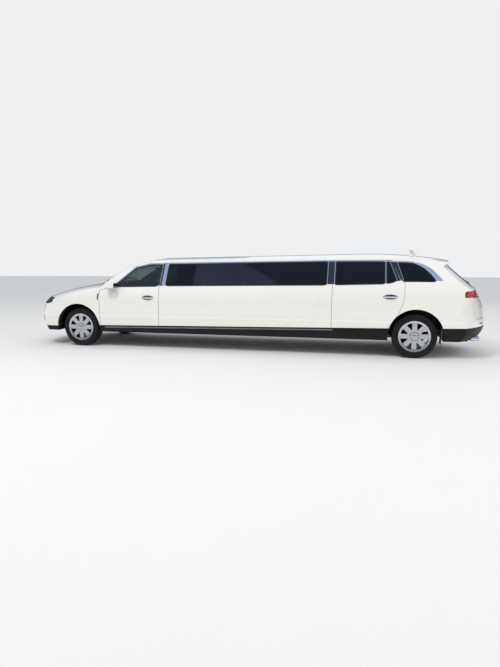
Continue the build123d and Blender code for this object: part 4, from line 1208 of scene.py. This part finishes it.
class LIMO_OT_seats(bpy.types.Operator):
    """Replace the plain seats with padded cushions, backs and headrests"""

    bl_idname = "limo.seats"
    bl_label = "Seats"

    def execute(self, context):
        thirds = (-0.42, 0.42)

        def padded(name, low, high, crown=0.010, **shape):
            """A pad with cloth swelling."""
            obj = soft_form(name, low, high, crown=crown, **shape)
            inflate(obj, 0.012)
            dress(obj, "body", "leather", angle=60)

        bases = []
        for name, y in (("left", 0.39), ("right", -0.39)):
            padded(f"front_cushion_{name}", (1.545, y - 0.245, 0.475),
                   (2.030, y + 0.245, 0.585), channels=thirds, depth=0.007)
            padded(f"front_back_{name}", (1.475, y - 0.235, 0.600), (1.585, y + 0.235, 1.080),
                   channels=thirds, depth=0.007, lean=-0.24, axis="x")
            padded(f"front_headrest_{name}", (1.365, y - 0.125, 1.075),
                   (1.450, y + 0.125, 1.172), crown=0.006, axis="x", power=4.0)
            bases.append(rounded_box("base", (1.56, y - 0.225, 0.352),
                                     (2.00, y + 0.225, 0.485), power=10.0))
            bases += [tube("post", [(1.425, y + d, 1.05), (1.415, y + d, 1.11)], 0.006, 10)
                      for d in (-0.06, 0.06)]
        base = dress(merged("front_seat_bases", bases), "body", "trim_plastic")
        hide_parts("front_seats")
        bench_bases = [rounded_box("base", (-2.66, -0.46, 0.352), (-2.19, 0.46, 0.480),
                                   power=10.0)]
        for name, y in (("left", 0.235), ("right", -0.235)):
            padded(f"rear_cushion_{name}", (-2.655, y - 0.228, 0.475),
                   (-2.170, y + 0.228, 0.585), channels=(0.0,), depth=0.007)
            padded(f"rear_back_{name}", (-2.725, y - 0.228, 0.600), (-2.615, y + 0.228, 1.160),
                   channels=(0.0,), depth=0.007, lean=-0.22, axis="x")
        base = dress(merged("rear_bench_base", bench_bases), "body", "trim_plastic")
        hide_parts("rear_bench")
        edges = np.linspace(-1.30, 0.90, 5)
        for k, (x0, x1) in enumerate(zip(edges, edges[1:])):
            padded(f"side_cushion_{k}", (x0 + 0.006, -0.690, 0.475),
                   (x1 - 0.006, -0.262, 0.582), crown=0.008)
            padded(f"side_back_{k}", (x0 + 0.006, -0.762, 0.600), (x1 - 0.006, -0.682, 1.042),
                   crown=0.008, channels=(-0.5, 0.0, 0.5), axis="y")
        plinth = dress(rounded_box("side_bench_plinth", (-1.29, -0.76, 0.352),
                                   (0.89, -0.285, 0.480), power=14.0), "body",
                       "trim_plastic")
        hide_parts("side_bench")
        return {"FINISHED"}


class LIMO_OT_cabin(bpy.types.Operator):
    """Add the headliner, door cards, instruments and console"""

    bl_idname = "limo.cabin"
    bl_label = "Cabin"

    def execute(self, context):
        for name, side in SIDES.items():
            for end, x0, x1, z0, z1 in (("front", 1.60, 2.50, 0.52, 1.05),
                                        ("rear", -2.44, -1.69, 0.54, 1.08)):
                door = surface_of(f"{end}_door_{name}")
                x, z = np.meshgrid(np.linspace(x0, x1, 22), np.linspace(z0, z1, 16), indexing="ij")
                starts = points_at(x, 0.3 * side, z)
                places = hits(door, starts.reshape(-1, 3), (0, side, 0))[0]
                inner = np.abs(places[:, 1]).min() * side
                u = (x - x0) / (x1 - x0) * 2 - 1
                v = (z - z0) / (z1 - z0) * 2 - 1
                arm = np.exp(-((v - 0.15) / 0.13) ** 4) * 0.034 * (np.abs(u) < 0.8)
                body_lift = 0.010 * (1 - np.abs(u) ** 8) * (1 - np.abs(v) ** 8) + arm
                wall = places.reshape(x.shape + (3,))[..., 1]
                y = np.where(side > 0, np.minimum(wall, inner + 0.06),
                             np.maximum(wall, inner - 0.06)) - side * (body_lift + 0.003)
                obj = slab(f"{end}_door_card_{name}", points_at(x, y, z), (0, side * 0.006, 0))
                dress(obj, f"{name}_{end}_door", "trim_plastic")
                path = [(x1 - 0.20, inner - side * 0.050, z1 - 0.09),
                        (x1 - 0.15, inner - side * 0.058, z1 - 0.088),
                        (x1 - 0.08, inner - side * 0.050, z1 - 0.09)]
                dress(tube(f"{end}_inner_pull_{name}", path, 0.006, 10),
                      f"{name}_{end}_door", "satin_silver")
        roof = surface_of("roof")
        x, y = np.meshgrid(np.linspace(-3.05, 1.60, 50), np.linspace(-0.50, 0.50, 15),
                           indexing="ij")
        places = hits(roof, points_at(x, y, 1.2).reshape(-1, 3), (0, 0, 1))[0]
        liner = places.reshape(x.shape + (3,)) - np.array([0, 0, 0.012])
        obj = slab("headliner", liner, (0, 0, -0.008))
        dress(obj, "body", "headliner")
        t = np.linspace(0, 2 * np.pi, 72, endpoint=False)
        centre = np.array([2.130, 0.380, 0.950])
        normal = np.array([-0.92, 0, 0.39]) / math.hypot(0.92, 0.39)
        first = np.array([0.0, 1.0, 0.0])
        second = np.cross(normal, first)
        q = np.linspace(0, 2 * np.pi, 14, endpoint=False)
        ring = (first * np.cos(t)[:, None] + second * np.sin(t)[:, None])
        grip = 0.0172 * (1 + 0.05 * np.cos(t * 4))[:, None]
        points = (centre + ring[:, None] * (0.180 + grip * np.cos(q)[None, :])[..., None]
                  + normal * (grip * np.sin(q)[None, :])[..., None])
        dress(grid_object("wheel_grip", points, wrap_u=True, wrap_v=True), "body", "leather")
        hub = rounded_box("wheel_hub", (-0.018, -0.075, -0.055), (0.024, 0.075, 0.055), power=3.5)
        turn = Vector((1, 0, 0)).rotation_difference(Vector(normal)).to_matrix().to_4x4()
        hub.data.transform(Matrix.Translation(Vector(centre)) @ turn)
        dress(hub, "body", "trim_plastic")
        for title, low, high, power, finish in (
                ("instrument_hood", (2.275, 0.22, 0.985), (2.43, 0.54, 1.075), 3.0,
                 "trim_plastic"),
                ("instrument_face", (2.262, 0.245, 0.995), (2.285, 0.515, 1.062), 6.0,
                 "screen"),
                ("centre_screen", (2.236, -0.13, 0.885), (2.262, 0.13, 1.020), 8.0, "screen"),
                ("centre_stack", (2.215, -0.15, 0.56), (2.36, 0.15, 0.87), 5.0,
                 "gloss_black")):
            dress(rounded_box(title, low, high, power), "body", finish)
        vents = [rounded_box("vent", (2.240, y - 0.055, 0.925), (2.262, y + 0.055, 0.985),
                             power=5.0) for y in (-0.66, -0.22, 0.20, 0.66)]
        dress(merged("dash_vents", vents), "body", "gloss_black")
        console = rounded_box("console", (1.52, -0.095, 0.352), (2.25, 0.095, 0.60), power=7.0)
        dress(console, "body", "trim_plastic")
        arm_rest = soft_form("console_pad", (1.55, -0.085, 0.590), (1.86, 0.085, 0.648),
                             crown=0.004)
        inflate(arm_rest, 0.010, cap=0.006)
        dress(arm_rest, "body", "leather", angle=60)
        lever = merged("gear_lever", [
            tube("stalk", [(2.02, 0.0, 0.585), (2.01, 0.0, 0.64), (1.995, 0.0, 0.69)], 0.008,
                 10),
            rounded_box("knob", (1.965, -0.024, 0.675), (2.025, 0.024, 0.735),
                        power=2.6)])
        dress(lever, "body", "satin_silver")
        pedals = []
        for y, width in ((0.30, 0.055), (0.42, 0.085)):
            pedals.append(rounded_box("pedal", (2.445, y - width / 2, 0.43),
                                      (2.462, y + width / 2, 0.53), power=6.0))
            pedals.append(tube("pedal_arm", [(2.458, y, 0.50), (2.50, y, 0.60),
                                             (2.53, y, 0.72)], 0.007, 8))
        dress(merged("pedals", pedals), "body", "forged_steel")
        mirror = merged("inner_mirror", [
            rounded_box("case", (1.905, -0.115, 1.412), (1.935, 0.115, 1.472),
                        power=4.0),
            tube("stem", [(1.925, 0, 1.455), (1.945, 0, 1.490), (1.955, 0, 1.510)], 0.008,
                 10)])
        dress(mirror, "body", "trim_plastic")
        return {"FINISHED"}


class LIMO_OT_underbody(bpy.types.Operator):
    """Add springs, dampers, the drive shaft and pipe hangers under the floor"""

    bl_idname = "limo.underbody"
    bl_label = "Underbody"

    def execute(self, context):
        def coil(name, x, y, z0, z1, radius, wire, turns):
            t = np.linspace(0, 1, turns * 24)
            a = 2 * np.pi * turns * t
            path = points_at(x + radius * np.cos(a), y + radius * np.sin(a), z0 + (z1 - z0) * t)
            return tube(name, path, wire, 8)

        springs, axle = [], AXLES["rear"]
        for side in SIDES.values():
            springs.append(coil("spring", axle, side * 0.43, 0.402, 0.428, 0.05, 0.006, 2))
            springs.append(tube("damper", [(axle + 0.05, side * 0.55, 0.345),
                                           (axle + 0.07, side * 0.53, 0.395),
                                           (axle + 0.09, side * 0.51, 0.428)], 0.021, 14))
            springs.append(tube("track_arm", [(-2.20, side * 0.52, 0.300),
                                              (-2.55, side * 0.54, 0.298),
                                              (-2.88, side * 0.56, 0.325)], 0.019, 12))
        dress(merged("rear_suspension", springs), "body", "forged_steel")
        shaft = merged("drive_shaft", [
            tube("shaft", points_at(np.linspace(2.70, -2.78, 24), 0.0,
                                    np.linspace(0.300, 0.290, 24) - 0.022), 0.024, 20),
            tube("joint", [(2.30, 0, 0.277), (2.40, 0, 0.277)], 0.034, 16),
            tube("joint", [(-0.20, 0, 0.273), (-0.08, 0, 0.273)], 0.034, 16),
            rounded_box("final_drive", (-3.06, -0.13, 0.262), (-2.80, 0.13, 0.425),
                        power=2.6)])
        dress(shaft, "body", "forged_steel")
        hangers = [tube("hanger", [(x, -0.25, 0.312), (x, -0.292, 0.262), (x, -0.25, 0.222),
                                   (x, -0.208, 0.262), (x, -0.25, 0.312)], 0.004, 8)
                   for x in (1.6, 0.2, -1.2, -2.4)]
        dress(merged("pipe_hangers", hangers), "body", "forged_steel")
        return {"FINISHED"}


class LIMO_OT_stage(bpy.types.Operator):
    """Set the floor, the lamps, the world and the camera"""

    bl_idname = "limo.stage"
    bl_label = "Stage"

    def execute(self, context):
        stage = settings().stage
        scene = context.scene
        reach = np.linspace(-60, 60, 3)
        floor = grid_object("floor", points_at(reach[:, None], reach[None, :], 0.0))
        material = bpy.data.materials.new("pale_floor")
        material.use_nodes = True
        tree = material.node_tree
        shade = mixed(tree, place_group(tree, "Mottle", Scale=0.6),
                      tuple(c * 0.985 for c in stage.floor), tuple(stage.floor))
        feed(tree, tree.nodes["Principled BSDF"], {"Base Color": shade, "Roughness": 0.85})
        floor.data.materials.append(material)
        world = bpy.data.worlds.new("studio")
        scene.world = world
        world.use_nodes = True
        tree = world.node_tree
        path = add_node(tree, "LightPath").outputs
        seen = math_node(tree, "ADD", path["Is Camera Ray"], path["Is Transmission Ray"],
                         clamp=True)
        upwards = part_of(tree, add_node(tree, "TexCoord").outputs["Generated"], "Z")
        height = add_node(tree, "MapRange", {"Value": upwards, "From Min": 0.02,
                                             "From Max": 0.42}).outputs[0]
        mirrored = mixed(tree, height, (0.15, 0.17, 0.18), (0.48, 0.61, 0.90))
        lit = mixed(tree, path["Is Glossy Ray"], (0.97, 0.985, 1.0), mirrored)
        feed(tree, tree.nodes["Background"], {
            "Color": mixed(tree, seen, lit, (0.86, 0.87, 0.88)),
            "Strength": math_node(tree, "MULTIPLY_ADD", seen, 0.25, 0.75)})
        # Name, place, size, power, and whether the car mirrors the lamp.
        lamps = (("key", (3.4, 7.0, 10.5), 3.0, stage.key, False),
                 ("fill", (-9.0, 5.0, 5.5), 6.0, 190.0, False),
                 ("rim", (-1.0, -9.0, 7.0), 8.0, 120.0, True))
        for name, place_at, size, power, mirrored_lamp in lamps:
            light = bpy.data.lights.new(name, "AREA")
            light.size, light.energy = size, power
            lamp = bpy.data.objects.new(name, light)
            lamp.location = place_at
            lamp.rotation_euler = (Vector((0, 0, 0.6)) - Vector(place_at)).to_track_quat(
                "-Z", "Y").to_euler()
            lamp.visible_glossy = mirrored_lamp
            scene.collection.objects.link(lamp)
        camera = bpy.data.cameras.new("camera")
        holder = bpy.data.objects.new("camera", camera)
        scene.collection.objects.link(holder)
        camera.sensor_fit, camera.sensor_width, camera.lens = "AUTO", FILM_WIDTH, stage.lens
        turn, tilt, roll = (math.radians(a) for a in CAMERA_ANGLES)
        ahead = Vector((math.sin(turn), -math.cos(turn), 0))
        right = Vector((-math.cos(turn), -math.sin(turn), 0))
        upright = Vector((0, 0, 1))
        look = math.cos(tilt) * ahead - math.sin(tilt) * upright
        top = math.cos(tilt) * upright + math.sin(tilt) * ahead
        right, top = (math.cos(roll) * right + math.sin(roll) * top,
                      math.cos(roll) * top - math.sin(roll) * right)
        pose = Matrix((right, top, -look)).transposed().to_4x4()
        pose.translation = Vector(CAMERA_PLACE)
        holder.matrix_world = pose
        scene.camera = holder
        scene.view_settings.view_transform = "Standard"
        return {"FINISHED"}


class LimoSettings(bpy.types.PropertyGroup):
    """All settings of the limousine."""

    paint: bpy.props.PointerProperty(type=LimoPaint)
    glass: bpy.props.PointerProperty(type=LimoGlass)
    trim: bpy.props.PointerProperty(type=LimoTrim)
    tyre: bpy.props.PointerProperty(type=LimoTyre)
    cabin: bpy.props.PointerProperty(type=LimoCabin)
    stage: bpy.props.PointerProperty(type=LimoStage)


OPERATORS = (LIMO_OT_finishes, LIMO_OT_stage, LIMO_OT_window_trim, LIMO_OT_tyres,
             LIMO_OT_wheel_centres, LIMO_OT_handles, LIMO_OT_front_face, LIMO_OT_rear_face,
             LIMO_OT_mirrors, LIMO_OT_body_details, LIMO_OT_seats, LIMO_OT_cabin,
             LIMO_OT_underbody)


class LIMO_PT_panel(bpy.types.Panel):
    """Lists the settings and the pieces"""

    bl_idname = "LIMO_PT_panel"
    bl_label = "Limousine"
    bl_space_type = "VIEW_3D"
    bl_region_type = "UI"
    bl_category = "Limousine"

    def draw(self, context):
        for title in ("paint", "glass", "trim", "tyre", "cabin", "stage"):
            box = self.layout.box()
            box.label(text=title.capitalize())
            part = getattr(context.scene.limousine, title)
            for name in part.__annotations__:
                box.prop(part, name)
        for operator in OPERATORS:
            self.layout.operator(operator.bl_idname)


CLASSES = (LimoPaint, LimoGlass, LimoTrim, LimoTyre, LimoCabin, LimoStage, LimoSettings,
           *OPERATORS, LIMO_PT_panel)


def register():
    """Register the classes and the settings."""
    for cls in CLASSES:
        bpy.utils.register_class(cls)
    bpy.types.Scene.limousine = bpy.props.PointerProperty(type=LimoSettings)


def unregister():
    """Remove the settings and the classes."""
    del bpy.types.Scene.limousine
    for cls in reversed(CLASSES):
        bpy.utils.unregister_class(cls)


def main():
    """Make every piece in order."""
    register()
    for operator in OPERATORS:
        family, name = operator.bl_idname.split(".")
        getattr(getattr(bpy.ops, family), name)()


if __name__ == "__main__":
    main()
